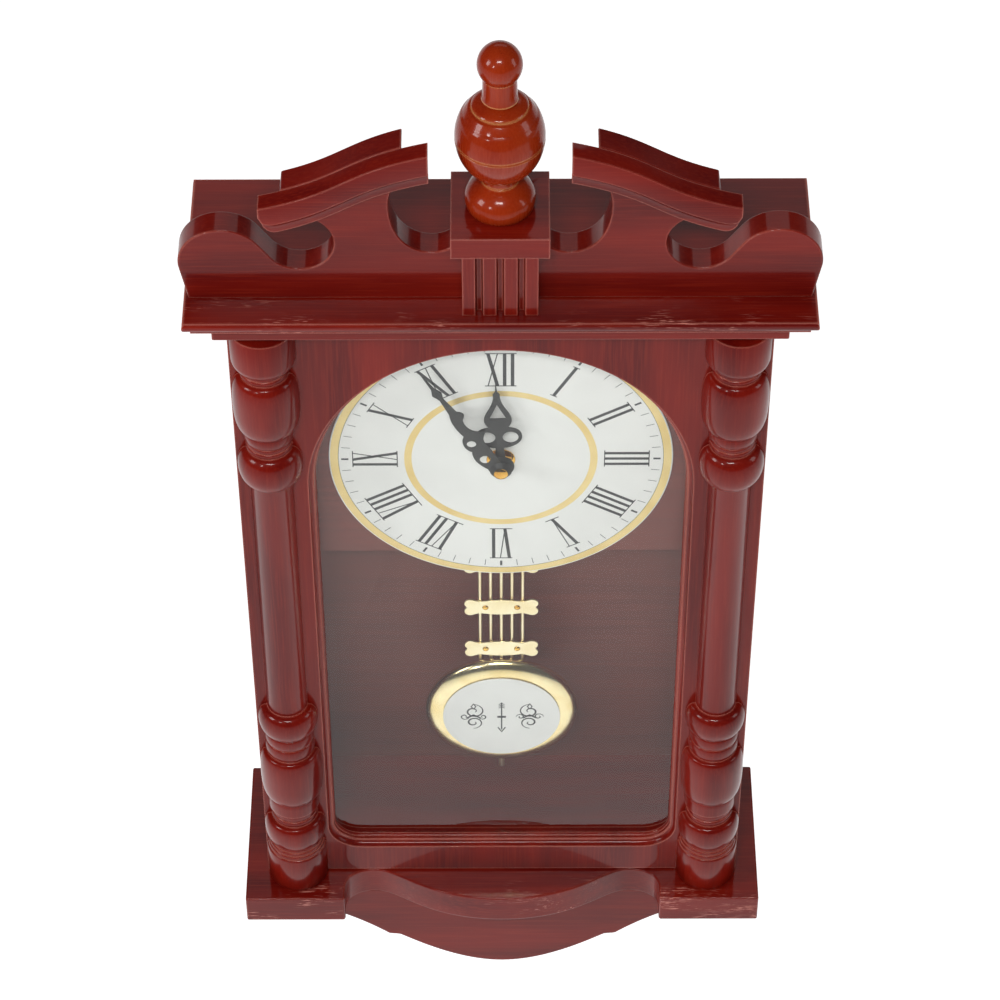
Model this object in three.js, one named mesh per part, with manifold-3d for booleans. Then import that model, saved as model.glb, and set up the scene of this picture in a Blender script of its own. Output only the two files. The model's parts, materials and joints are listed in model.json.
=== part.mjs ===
// Pendulum wall clock: a wooden case with a scroll pediment and a turned finial, a hinged glazed
// door that carries two split columns, a plinth with a shaped apron, a quartz pendulum movement,
// a printed dial, two serpentine hands and a grid-rod pendulum with a domed bob.
//
// Units are millimetres. X points right, Y points to the wall (the wall plane is y = 0, so the
// clock faces -Y) and Z points up. The origin is the hang point: the top end of the keyhole slot.

import * as THREE from "three";
import { mergeVertices } from "three/addons/utils/BufferGeometryUtils.js";
import Module from "manifold-3d";

const wasm = await Module();
wasm.setup();

// ---------------------------------------------------------------- driving dimensions

const gap = 0.3; // left between pieces that are glued, screwed or seated together
const runClear = 0.3; // radial clearance of a turning shaft in its hole
const stock = 15; // board thickness of the case and the pediment
const panelStock = 3; // hardboard back panel
const hangDrop = 40; // hang point below the top of the cornice

const caseWidth = 290;
const caseDepth = 64; // wall to the front edges of the case sides
const caseHeight = 480; // plinth to the board under the cornice
const railHeight = 40; // hanging rail across the top of the back

const corniceWidth = caseWidth + 40;
const corniceDepth = 112;
const corniceThick = 9.7;
const subWidth = caseWidth + 12; // board under the cornice
const subDepth = 100;
const subThick = 13;

const plinthWidth = caseWidth + 27.4;
const plinthDepth = 104.5;
const plinthThick = 21.9;

const plinthBay = 194.8; // between the two front blocks, where the plinth's edge is serpentine
const waistX = 79; // the plinth is narrowest this far from the centre
const waistDepth = 81.8; // wall to the plinth's edge there

const apronWidth = 252;
const apronDrop = 75.3; // centre of the apron's lower edge below the plinth
const apronInset = 0.8; // apron behind the plinth's narrowest place

const doorThick = 16;
const doorClear = 1.5; // above, below
const hingeGap = 2; // between the door and the case
const sightHalf = 102.3; // half the width of the glass that shows
const sightCorner = 16; // radius of the window's lower corners
const archDrop = 130.2; // door top to the centre of the window's arch
const bottomRail = 26.2; // door bottom to the window's sill
const mouldWidth = 4; // moulded edge round the window
const mouldDepth = 6.5;
const rabbetWidth = 5; // ledge that the glass lies on, from behind
const glassInset = 8.2; // door face to the front of the glass
const glassThick = 2;

const columnX = 126.3; // column axis from the centre line
const columnSet = 1; // column axis behind the door's face
const columnTopDrop = 6; // door top to the top of the column
const columnRadius = 18.35; // plain cylinder at the foot
const shaftRadius = 12;

const boardInset = 19.8; // pediment board behind the cornice's front edge
const pedimentHalf = 162; // half the width of the board's foot
const earX = 143.3; // centre of the rounded ear
const earZ = 25;
const earRadius = 23;
const curlX = 103.3; // centre of the round cut inside the scroll
const curlZ = 39;
const curlRadius = 18;
const scrollInX = 49.2; // inner end of the scroll's upper edge
const scrollOutX = 111; // outer end
const tongueHalf = 22; // centre tongue, under the cap
const mouldingInX = 36; // the scroll moulding runs past the board at both ends
const mouldingOutX = 122.4;
const mouldingInZ = 107.8;
const mouldingOutZ = 72.6;
const mouldingFace = 13; // height of its flat band
const mouldingDrop = 25; // its whole height
const mouldingDepth = 11;

const blockWidth = 39.4;
const blockHeight = 41.1;
const blockDepth = 13.1;
const fluteWidth = 3.8;
const flutePitch = 10.9;
const fluteDepth = 4;
const capWidth = 50.8;
const capDepth = 51.6;
const capThick = 13.3;
const capLip = 1; // cap in front of the block
const dowelRadius = 4;
const dowelLength = 10;
const finialRadius = 23; // big ball of the finial
const finialHeight = 105.6; // above the cap

const dialRadius = 96;
const dialThick = 0.8;
const dialDrop = 2.5; // dial centre below the centre of the arch
const dialInset = 24; // dial face behind the door's face
const dialBoardThick = 9;
const dialBoardShow = 18.5; // dial hangs below its board by this much
const bushRadius = 4;
const washerRadius = 8;
const nutFlats = 12;

const moveWidth = 60; // movement housing
const moveAbove = 30; // housing above the hand shaft
const moveBelow = 52; // and below it
const moveDepth = 22.2;
const moveWall = 1.8;
const coverThick = 1.5;
const batteryRadius = 7.1;
const batteryLength = 50.3;
const gearDistance = 14; // hand shaft to the setting shaft
const pinionTeeth = 8; // both pinions of the motion work
const settingTeeth = 24;
const hourTeeth = 32; // 24/8 times 32/8 makes twelve turns of the minute hand to one of the hour
const pivotDrop = 24; // hand shaft to the pendulum's pivot

const hourLength = 66.8;
const minuteLength = 90.2;
const handThick = 0.7;
const hourAngle = -2.5; // degrees clockwise from twelve o'clock: five minutes to twelve
const minuteAngle = -30;

const rodCount = 5;
const rodPitch = 6.3;
const rodRadius = 1.05;
const barPitch = 37.3;
const barWidth = 43.6;
const barHeight = 13.7;
const barThick = 1;
const barCount = 3;
const firstBarDrop = 106.8; // hand shaft to the upper crossbar
const bobGap = 2.5; // lower crossbar to the bob
const bobRadius = 46.2;
const bobDiscRadius = 35.5;
const bobRise = 5; // flat face of the bob in front of its rim
const tailDrop = 11; // tail below the bob

const hingeLength = 40;
const hingeInset = 60; // hinge centre from the door's top or bottom
const leafThick = 1;
const knuckleRadius = 1.6;
const pinRadius = 0.7;
const pinHead = 0.7; // head of the pin beyond its shank, and its height
const hingeIn = 0.6; // hinge axis inside the case's outer face

// ---------------------------------------------------------------- derived planes

const zCornice = hangDrop; // top of the cornice
const zCorniceUnder = zCornice - corniceThick;
const zSubUnder = zCorniceUnder - gap - subThick;
const zCaseTop = zSubUnder - gap;
const zCaseFoot = zCaseTop - caseHeight;
const zPlinth = zCaseFoot - gap; // top of the plinth
const zFloor = zCaseFoot + stock; // floor inside the case
const zDoorTop = zSubUnder - doorClear;
const zDoorFoot = zPlinth + doorClear;
const zArch = zDoorTop - archDrop;
const zSill = zDoorFoot + bottomRail;
const zDial = zArch - dialDrop;

const innerHalf = caseWidth / 2 - stock; // inside face of each case side
const yCase = -caseDepth;
const yDoorBack = yCase - hingeGap;
const yDoor = yDoorBack - doorThick; // face of the door
const yGlass = yDoor + glassInset;
const yBoard = -corniceDepth + boardInset; // face of the pediment board
const yBlock = yBoard - gap - blockDepth;
const yDial = yDoor + dialInset;
const yDialBoard = yDial + dialThick + gap; // front of the dial board
const yMove = yDialBoard + dialBoardThick + gap; // front of the movement
const yMoveBack = yMove + moveDepth;
const zPivot = zDial - pivotDrop;
const zHook = zDial - moveBelow - 8; // stud that the pendulum hangs on
const yLever = yMove + 3.6; // front of the drive lever
const leverThick = 1.4;
const postRadius = 1.3; // post that the pendulum's lever turns on
const yBar = yLever + leverThick + 0.4; // front of the pendulum's plates
const yRod = yBar + barThick + gap + rodRadius; // axis plane of the rods
const zBar = Array.from({ length: barCount }, (_, i) => zDial - firstBarDrop - i * barPitch);
const zBob = zBar[barCount - 1] - barHeight / 2 - bobGap - bobRadius;
const hingeX = caseWidth / 2 - hingeIn;
const hingeY = yCase - hingeGap / 2;

// ---------------------------------------------------------------- materials

const finish = (color, roughness, metalness) =>
  new THREE.MeshStandardMaterial({ color, roughness, metalness });
const mahogany = () => finish(0x7d342f, 0.3, 0);
const finialWood = () => finish(0x96412a, 0.2, 0);
const plainWood = () => finish(0x9a7452, 0.7, 0);
const hardboard = () => finish(0x6e2f28, 0.6, 0);
const brass = () => finish(0xd9b36a, 0.3, 1);
const goldPlate = () => finish(0xebdfb6, 0.35, 0.8);
const steel = () => finish(0xb8babd, 0.35, 1);
const blackPaint = () => finish(0x3c3c3e, 0.45, 0.2);
const blackPlastic = () => finish(0x1d1d1f, 0.5, 0);
const whiteEnamel = () => finish(0xe9e9ea, 0.35, 0);
const glassClear = () => finish(0xdfe6e4, 0.05, 0);
const circuitGreen = () => finish(0x2f6b45, 0.5, 0);
const copper = () => finish(0xb87346, 0.4, 1);

// ---------------------------------------------------------------- shape helpers

// One closed surface with its faces out: shared points merged, slivers dropped.
function closed(geometry) {
  const source = new THREE.BufferGeometry();
  const flat = geometry.index ? geometry.toNonIndexed() : geometry;
  source.setAttribute("position", flat.getAttribute("position"));
  const merged = mergeVertices(source, 1e-4);
  const points = merged.getAttribute("position");
  const corner = (i) => new THREE.Vector3().fromBufferAttribute(points, i);
  const faces = [];
  let volume = 0;
  const index = merged.index.array;
  for (let i = 0; i < index.length; i += 3) {
    const [a, b, c] = [index[i], index[i + 1], index[i + 2]];
    if (a === b || b === c || c === a) continue;
    faces.push([a, b, c]);
    volume += corner(a).dot(corner(b).cross(corner(c)));
  }
  merged.setIndex((volume < 0 ? faces.map(([a, b, c]) => [a, c, b]) : faces).flat());
  return merged;
}

function toSolid(geometry) {
  const g = closed(geometry);
  const vertProperties = new Float32Array(g.getAttribute("position").array);
  const triVerts = new Uint32Array(g.index.array);
  return new wasm.Manifold(new wasm.Mesh({ numProp: 3, vertProperties, triVerts }));
}

function toGeometry(solid) {
  const mesh = solid.getMesh();
  const g = new THREE.BufferGeometry();
  g.setAttribute("position", new THREE.BufferAttribute(mesh.vertProperties, 3));
  g.setIndex(new THREE.BufferAttribute(mesh.triVerts, 1));
  return g;
}

const join = (...parts) => toGeometry(parts.map(toSolid).reduce((sum, part) => sum.add(part)));
const cut = (body, ...tools) =>
  toGeometry(tools.map(toSolid).reduce((left, tool) => left.subtract(tool), toSolid(body)));
const common = (a, b) => toGeometry(toSolid(a).intersect(toSolid(b)));

// A box between two corners, the values of each axis in any order.
function box([x0, x1], [y0, y1], [z0, z1]) {
  const g = new THREE.BoxGeometry(Math.abs(x1 - x0), Math.abs(y1 - y0), Math.abs(z1 - z0));
  return g.translate((x0 + x1) / 2, (y0 + y1) / 2, (z0 + z1) / 2);
}

// An outline in the X-Z plane, made thick along Y from yFront back to yBack.
function slab(outline, yFront, yBack, curveSegments = 12) {
  const depth = yBack - yFront;
  const options = { depth, bevelEnabled: false, curveSegments };
  return new THREE.ExtrudeGeometry(outline, options).rotateX(Math.PI / 2).translate(0, yBack, 0);
}

// An outline in the X-Y plane, made thick along Z.
function prism(outline, zLow, zHigh, curveSegments = 12) {
  const options = { depth: zHigh - zLow, bevelEnabled: false, curveSegments };
  return new THREE.ExtrudeGeometry(outline, options).translate(0, 0, zLow);
}

// A cross-section in the Y-Z plane, made long along X.
function beam(section, xLow, xHigh) {
  const outline = new THREE.Shape(section.map(([y, z]) => new THREE.Vector2(y, z)));
  const options = { depth: xHigh - xLow, bevelEnabled: false };
  const g = new THREE.ExtrudeGeometry(outline, options);
  const turn = new THREE.Matrix4().makeBasis(
    new THREE.Vector3(0, 1, 0),
    new THREE.Vector3(0, 0, 1),
    new THREE.Vector3(1, 0, 0),
  );
  return g.applyMatrix4(turn).translate(xLow, 0, 0);
}

// A round bar: axis "y" from y0 to y1 or axis "z" from z0 to z1, centred on the other two.
function rod(axis, radius, [low, high], [u, v], segments = 24) {
  const g = new THREE.CylinderGeometry(radius, radius, Math.abs(high - low), segments);
  const mid = (low + high) / 2;
  if (axis === "y") return g.translate(u, mid, v);
  if (axis === "z") return g.rotateX(Math.PI / 2).translate(u, v, mid);
  return g.rotateZ(Math.PI / 2).translate(mid, u, v);
}

// A turned solid about the Z axis from [radius, height] pairs listed from foot to top.
function turned(profile, segments = 32) {
  const points = profile.map(([r, z]) => new THREE.Vector2(r, z));
  return new THREE.LatheGeometry(points, segments).rotateX(Math.PI / 2);
}

// A dish or disc about the Y axis from [radius, y] pairs.
function faced(profile, segments = 28) {
  const points = profile.map(([r, y]) => new THREE.Vector2(r, y));
  return new THREE.LatheGeometry(points, segments);
}

// A closed skin over rings of 3-D points, every ring with the same number of points.
function loft(rings) {
  const count = rings[0].length;
  const positions = [];
  const push = (...points) => points.forEach((p) => positions.push(p.x, p.y, p.z));
  for (let r = 0; r + 1 < rings.length; r++) {
    for (let i = 0; i < count; i++) {
      const j = (i + 1) % count;
      push(rings[r][i], rings[r][j], rings[r + 1][j]);
      push(rings[r][i], rings[r + 1][j], rings[r + 1][i]);
    }
  }
  const cap = (ring, flip) => {
    const spanX = Math.max(...ring.map((p) => p.x)) - Math.min(...ring.map((p) => p.x));
    const flat = ring.map((p) => new THREE.Vector2(spanX > gap ? p.x : p.y, p.z));
    const faces = THREE.ShapeUtils.triangulateShape(flat, []);
    faces.forEach(([a, b, c]) => push(ring[a], ring[flip ? c : b], ring[flip ? b : c]));
  };
  const turn = THREE.ShapeUtils.isClockWise(
    rings[0].map((p) => new THREE.Vector2(p.x, p.z)),
  );
  cap(rings[0], !turn);
  cap(rings[rings.length - 1], turn);
  const g = new THREE.BufferGeometry();
  g.setAttribute("position", new THREE.Float32BufferAttribute(positions, 3));
  return g;
}

// A radius that swells from low to high and back over 0..1; a larger power gives a fuller barrel.
const swell = (low, high, power, t) =>
  low + (high - low) * Math.pow(1 - Math.pow(Math.abs(2 * t - 1), power), 1 / power);

// Points of one swelling from z0 to z1.
function swelling(z0, z1, low, high, power, steps) {
  return Array.from({ length: steps + 1 }, (_, i) => {
    const t = (1 - Math.cos((Math.PI * i) / steps)) / 2;
    return [swell(low, high, power, t), z0 + (z1 - z0) * t];
  });
}

const clock = new THREE.Group();

function add(name, geometry, material) {
  const mesh = new THREE.Mesh(closed(geometry), material);
  mesh.name = name;
  clock.add(mesh);
  return mesh;
}

const sides = [
  ["left", -1],
  ["right", 1],
];

// ---------------------------------------------------------------- cornice, case and plinth

// Moulded board edge seen from the end: a rounded nose over a small cove.
function noseProfile(edge, top, thick, inward) {
  const nose = thick * 0.62;
  const cove = thick - nose;
  const points = [];
  for (let i = 0; i <= 8; i++) {
    const a = Math.PI / 2 - (Math.PI * i) / 8;
    const swing = nose * 0.36 * (1 - Math.cos(a));
    points.push([edge + inward * swing, top - nose / 2 + (nose / 2) * Math.sin(a)]);
  }
  const coveStart = edge + inward * nose * 0.36;
  for (let i = 1; i <= 4; i++) {
    const a = (Math.PI / 2) * (i / 4);
    const down = nose + cove * (1 - Math.cos(a)) * 0.6;
    points.push([coveStart + inward * cove * 0.5 * Math.sin(a), top - down]);
  }
  return points;
}

function makeCornice() {
  const under = zCorniceUnder;
  const front = noseProfile(-corniceDepth, zCornice, corniceThick, 1);
  const frontShape = [...front, [front[front.length - 1][0], under], [0, under], [0, zCornice]];
  const half = corniceWidth / 2;
  const side = noseProfile(half, zCornice, corniceThick, -1);
  const last = side[side.length - 1][0];
  const rightEdge = [...side, [last, under]];
  const outline = new THREE.Shape(
    [...rightEdge, ...rightEdge.map(([x, z]) => [-x, z]).reverse()].map(
      ([x, z]) => new THREE.Vector2(x, z),
    ),
  );
  const board = common(beam(frontShape, -half - 1, half + 1), slab(outline, -corniceDepth - 1, 1));
  add("cornice_top", board, mahogany());
  const sub = box([-subWidth / 2, subWidth / 2], [-subDepth, 0], [zSubUnder, zCorniceUnder - gap]);
  add("cornice_sub_board", sub, mahogany());
}

function makeCase() {
  for (const [name, s] of sides) {
    const side = box([s * innerHalf, (s * caseWidth) / 2], [yCase, 0], [zCaseFoot, zCaseTop]);
    add(`case_side_${name}`, s > 0 ? cutForHinges(side) : side, mahogany());
  }
  const fitHalf = innerHalf - gap;
  const floor = box([-fitHalf, fitHalf], [yCase, 0], [zCaseFoot, zFloor]);
  add("case_floor", floor, mahogany());
  const railTop = zCaseTop - gap;
  const rail = box([-fitHalf, fitHalf], [-stock, 0], [railTop - railHeight, railTop]);
  add("hanging_rail", cutForHanger(rail), plainWood());
  const panelTop = railTop - railHeight - gap;
  const panel = box([-fitHalf, fitHalf], [-panelStock - gap, -gap], [zFloor + gap, panelTop]);
  const handHole = box(
    [-moveWidth / 2 - 12, moveWidth / 2 + 12],
    [-stock, stock],
    [zDial - moveBelow - 12, zDial + moveAbove + 12],
  );
  add("back_panel", cut(panel, handHole), hardboard());
}

// Right half of the plinth's front edge, seen from above: it runs from the centre round the
// serpentine bay to the block's outer corner.
function plinthEdge() {
  const bay = plinthBay / 2;
  const corner = 1.6;
  const edge = new THREE.Path().moveTo(0, -plinthDepth);
  edge.bezierCurveTo(waistX * 0.61, -plinthDepth, waistX * 0.8, -waistDepth, waistX, -waistDepth);
  const turn = waistDepth + (plinthDepth - waistDepth) * 0.6;
  edge.bezierCurveTo(waistX + 9.5, -waistDepth, bay, -waistDepth - 4.7, bay, -turn);
  edge.lineTo(bay, -plinthDepth + corner);
  edge.quadraticCurveTo(bay, -plinthDepth, bay + corner, -plinthDepth);
  return edge.getPoints(8);
}

function makePlinth() {
  const half = plinthWidth / 2;
  const right = plinthEdge();
  const left = right.slice(1).map((p) => new THREE.Vector2(-p.x, p.y));
  const corners = [
    new THREE.Vector2(half, -plinthDepth),
    new THREE.Vector2(half, 0),
    new THREE.Vector2(-half, 0),
    new THREE.Vector2(-half, -plinthDepth),
  ];
  const outline = new THREE.Shape([...right, ...corners, ...left.reverse()]);
  add("plinth", prism(outline, zPlinth - plinthThick, zPlinth), mahogany());
}

// Half of the apron's outline from the end of its upper edge round to the centre of its lower
// edge: x from the centre, z from the plinth's underside.
function apronHalf() {
  const end = apronWidth / 2;
  const drop = (share) => -apronDrop * share;
  const path = new THREE.Path().moveTo(0, drop(1));
  path.bezierCurveTo(end * 0.206, drop(1), end * 0.405, drop(0.757), end * 0.512, drop(0.627));
  path.bezierCurveTo(end * 0.528, drop(0.614), end * 0.556, drop(0.622), end * 0.574, drop(0.606));
  path.bezierCurveTo(end * 0.635, drop(0.511), end * 0.762, drop(0.339), end * 0.889, drop(0.252));
  path.bezierCurveTo(end * 0.937, drop(0.226), end, drop(0.186), end, drop(0.106));
  path.lineTo(end, 0);
  return path.getPoints(8).reverse();
}

function makeApron() {
  const top = zPlinth - plinthThick - gap;
  const right = apronHalf().map((p) => new THREE.Vector2(p.x, p.y + top));
  const left = right.slice(0, -1).map((p) => new THREE.Vector2(-p.x, p.y));
  const outline = new THREE.Shape([...right, ...left.reverse()]);
  const face = -waistDepth + apronInset;
  add("apron", slab(outline, face, face + stock), mahogany());
}

// ---------------------------------------------------------------- pediment

// Upper edge of the scroll: a lazy S that climbs towards the centre.
const scrollEdge = (() => {
  const run = (mouldingOutX - mouldingInX) * 0.52;
  const climb = (mouldingInZ - mouldingOutZ) * 0.31;
  return new THREE.CubicBezierCurve(
    new THREE.Vector2(mouldingInX, mouldingInZ),
    new THREE.Vector2(mouldingInX + run, mouldingInZ - climb),
    new THREE.Vector2(mouldingOutX - run, mouldingOutZ + climb),
    new THREE.Vector2(mouldingOutX, mouldingOutZ),
  );
})();

const scrollPoints = scrollEdge.getPoints(24);

// Height of the S edge at a distance from the centre.
function scrollHeight(x) {
  const i = Math.max(1, scrollPoints.findIndex((p) => p.x >= x));
  const [a, b] = [scrollPoints[i - 1], scrollPoints[i]];
  return a.y + ((b.y - a.y) * (x - a.x)) / (b.x - a.x);
}

function arcPoints(cx, cz, radius, from, to, steps) {
  return Array.from({ length: steps + 1 }, (_, i) => {
    const a = from + ((to - from) * i) / steps;
    return new THREE.Vector2(cx + radius * Math.cos(a), cz + radius * Math.sin(a));
  });
}

// Half of the pediment board from the centre of the tongue to the foot, z from the cornice's top.
function pedimentHalfOutline() {
  const top = blockHeight;
  const notch = new THREE.Path().moveTo(tongueHalf, top);
  const notchX = scrollInX + 7.6;
  notch.bezierCurveTo(tongueHalf + 2, top - 6, tongueHalf + 8, top * 0.79, tongueHalf + 13, top * 0.79);
  notch.bezierCurveTo(scrollInX - 1, top * 0.79, notchX, top * 1.1, notchX, top * 1.57);
  notch.bezierCurveTo(notchX, top * 1.9, scrollInX, top * 1.95, scrollInX, scrollHeight(scrollInX));
  const crest = scrollPoints.filter((p) => p.x > scrollInX + 1 && p.x < scrollOutX - 1);
  const beak = [
    new THREE.Vector2(scrollOutX, scrollHeight(scrollOutX)),
    new THREE.Vector2(scrollOutX + 1.5, curlZ + curlRadius + 7),
  ];
  // The round cut and the ear meet on the line that touches both circles.
  const span = Math.hypot(earX - curlX, earZ - curlZ);
  const heading = Math.atan2(curlZ - earZ, curlX - earX);
  const lean = Math.acos(Math.min(1, (earRadius + curlRadius) / span));
  const touch = heading - lean;
  const curl = arcPoints(curlX, curlZ, curlRadius, Math.PI / 2, touch + Math.PI, 16);
  const ear = arcPoints(earX, earZ, earRadius, touch, -0.1, 12);
  const foot = new THREE.Vector2(pedimentHalf, 0);
  return [new THREE.Vector2(0, top), ...notch.getPoints(6), ...crest, ...beak, ...curl, ...ear, foot];
}

function makePedimentBoard() {
  const half = pedimentHalfOutline();
  const left = half.slice(1).map((p) => new THREE.Vector2(-p.x, p.y));
  const outline = new THREE.Shape([...left.reverse(), ...half]);
  const board = slab(outline, yBoard, yBoard + stock).translate(0, 0, zCornice + gap);
  add("pediment_board", board, mahogany());
}

// Section of the scroll moulding: a flat band over a cove, both on the board's face.
function mouldingSection(x, z, shrink) {
  const back = yBoard - gap;
  const front = back - mouldingDepth;
  const coveDepth = mouldingDepth - 3;
  const coveHeight = mouldingDrop - mouldingFace;
  const section = [[back, 0], [front, 0], [front, -mouldingFace * shrink]];
  for (let i = 1; i <= 4; i++) {
    const a = (Math.PI / 2) * (i / 4);
    const drop = mouldingFace + coveHeight * (1 - Math.cos(a));
    section.push([front + coveDepth * Math.sin(a), -drop * shrink]);
  }
  section.push([back, -mouldingDrop * shrink]);
  return section.map(([y, dz]) => new THREE.Vector3(x, y, z + dz));
}

function makeScrollMouldings() {
  const roundOff = 9; // the band's lower outer corner is rounded over this length
  for (const [name, s] of sides) {
    const rings = scrollPoints.map((p) => {
      const toEnd = Math.max(0, mouldingOutX - p.x);
      const t = Math.min(1, toEnd / roundOff);
      const shrink = 0.45 + 0.55 * Math.sqrt(1 - (1 - t) * (1 - t));
      return mouldingSection(s * p.x, zCornice + gap + p.y, shrink);
    });
    add(`scroll_moulding_${name}`, loft(rings), mahogany());
  }
}

function makePedestal() {
  const half = blockWidth / 2;
  const [yFront, yBack] = [yBlock, yBoard - gap];
  const foot = zCornice + gap;
  const flutes = [-1, 0, 1].map((i) => {
    const x = i * flutePitch;
    const mouth = fluteWidth / 2;
    const floorHalf = mouth * 0.7;
    const corners = [
      [x - mouth, yFront - 1],
      [x + mouth, yFront - 1],
      [x + mouth, yFront + fluteDepth * 0.4],
      [x + floorHalf, yFront + fluteDepth],
      [x - floorHalf, yFront + fluteDepth],
      [x - mouth, yFront + fluteDepth * 0.4],
    ];
    const outline = new THREE.Shape(corners.map(([u, v]) => new THREE.Vector2(u, v)));
    return prism(outline, foot - 1, foot + blockHeight + 1);
  });
  const block = box([-half, half], [yFront, yBack], [foot, foot + blockHeight]);
  add("pedestal_block", cut(block, ...flutes), mahogany());

  const zCapUnder = foot + blockHeight + gap;
  const yCapFront = yBlock - capLip;
  const cap = box(
    [-capWidth / 2, capWidth / 2],
    [yCapFront, yCapFront + capDepth],
    [zCapUnder, zCapUnder + capThick],
  );
  const yAxis = yCapFront + capDepth / 2;
  const zCapTop = zCapUnder + capThick;
  const hole = rod("z", dowelRadius + gap, [zCapTop - dowelLength - gap, zCapTop + 1], [0, yAxis]);
  add("pedestal_cap", cut(cap, hole), mahogany());
  add("finial", makeFinial().translate(0, yAxis, zCapTop + gap), finialWood());
}

function makeFinial() {
  const big = finialRadius;
  const small = big * 0.5;
  const onOval = (radius, rise, centre, degrees) => {
    const angle = THREE.MathUtils.degToRad(degrees);
    return [radius * Math.cos(angle), centre + rise * Math.sin(angle)];
  };
  const base = (degrees) => onOval(18.3, 14, 6, degrees);
  const ball = (degrees) => onOval(big, big * 1.174, 47.2, degrees);
  const knob = (degrees) => onOval(small, small * 1.06, finialHeight - small * 1.06, degrees);
  const profile = [
    [0, -dowelLength],
    [dowelRadius, -dowelLength],
    [dowelRadius, 0],
    [16.4, 0],
    [17.6, 1.8],
    ...[0, 18, 34, 48, 58].map(base),
    [9.7, 18.6],
    [10.5, 21.4],
    ...[-64, -48, -32, -16, 0, 16, 32, 45].map(ball),
    [15.1, 66.6],
    [14.4, 69.6],
    [12.8, 71.6],
    [9.4, 72.8],
    [9, 78.4],
    ...[-38, -20, 5, 30, 52, 72].map(knob),
    [0, finialHeight],
  ];
  return turned(profile, 20);
}

// ---------------------------------------------------------------- door

// Outline of the window: straight sides, a half-round head and rounded lower corners.
function windowOutline(offset, steps = 11) {
  const half = sightHalf + offset;
  const corner = sightCorner + offset;
  const foot = zSill - offset;
  const right = arcPoints(half - corner, foot + corner, corner, -Math.PI / 2, 0, 5);
  const head = arcPoints(0, zArch, half, 0, Math.PI, steps * 2);
  const left = arcPoints(-half + corner, foot + corner, corner, Math.PI, Math.PI * 1.5, 5);
  return [...right, ...head, ...left];
}

// A window-shaped tool whose outline changes with depth: [offset, y] pairs from front to back.
const windowTool = (stations) =>
  loft(
    stations.map(([offset, y]) =>
      windowOutline(offset).map((p) => new THREE.Vector3(p.x, y, p.y)),
    ),
  );

function cutForHinges(body) {
  const cuts = hingeHeights().flatMap((z) => {
    const reach = hingeLength / 2 + gap;
    const edge = [innerHalf - 1, hingeX];
    const seat = box(edge, [yCase - 1, yCase + leafThick + gap], [z - reach, z + reach]);
    return [seat, barrelGroove(z)];
  });
  return cut(body, ...cuts);
}

// Round groove that the knuckles and the pin's heads turn in.
function barrelGroove(z) {
  const reach = hingeLength / 2 + pinHead + 2 * gap;
  return rod("z", knuckleRadius + gap, [z - reach, z + reach], [hingeX, hingeY], 24);
}

function cutDoorForHinges(body) {
  const cuts = hingeHeights().flatMap((z) => {
    const reach = hingeLength / 2 + gap;
    const edge = [innerHalf - 1, hingeX];
    const seat = box(edge, [yDoorBack - leafThick - gap, yDoorBack + 1], [z - reach, z + reach]);
    return [seat, barrelGroove(z)];
  });
  return cut(body, ...cuts);
}

function hingeHeights() {
  return [zDoorTop - hingeInset, zDoorFoot + hingeInset];
}

function makeDoor() {
  const half = caseWidth / 2;
  const panel = box([-half, half], [yDoor, yDoorBack], [zDoorFoot, zDoorTop]);
  const ovolo = mouldDepth * 0.55;
  const stations = [[mouldWidth + 1, yDoor - 1], [mouldWidth, yDoor]];
  for (let i = 1; i <= 4; i++) {
    const a = (Math.PI / 2) * (i / 4);
    stations.push([mouldWidth - (mouldWidth - 1.6) * (1 - Math.cos(a)), yDoor + ovolo * Math.sin(a)]);
  }
  stations.push([1.6, yDoor + ovolo + 0.6], [0.8, yDoor + ovolo + 1.2], [0, yDoor + mouldDepth]);
  stations.push([0, yDoorBack + 1]);
  const rabbet = windowTool([[rabbetWidth, yGlass], [rabbetWidth, yDoorBack + 1]]);
  const frame = cutDoorForHinges(cut(panel, windowTool(stations), rabbet));
  add("door_frame", frame, mahogany());

  const pane = new THREE.Shape(windowOutline(rabbetWidth - 1));
  add("door_glass", slab(pane, yGlass + gap, yGlass + gap + glassThick), glassClear());
  makeGlassClips();
}

// Small steps of sheet metal screwed behind the door, each with a tongue on the glass.
function makeGlassClips() {
  const yPane = yGlass + gap + glassThick;
  const reach = 8;
  const wide = 12;
  const sheet = 0.8;
  const heights = [zArch - 30, zSill + 60];
  const inner = sightHalf + rabbetWidth;
  for (const [name, s] of sides) {
    heights.forEach((z, i) => {
      const span = [z - wide / 2, z + wide / 2];
      const yFoot = yDoorBack + gap;
      const bend = inner - 0.6;
      const foot = box([s * bend, s * (inner + reach)], [yFoot, yFoot + sheet], span);
      const riser = box([s * (bend - sheet), s * bend], [yPane + gap, yFoot + sheet], span);
      const tongue = box([s * (inner - 4), s * (inner - 0.6)], [yPane + gap, yPane + gap + sheet], span);
      const label = i === 0 ? "upper" : "lower";
      add(`glass_clip_${label}_${name}`, join(foot, riser, tongue), steel());
    });
  }
}

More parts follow.
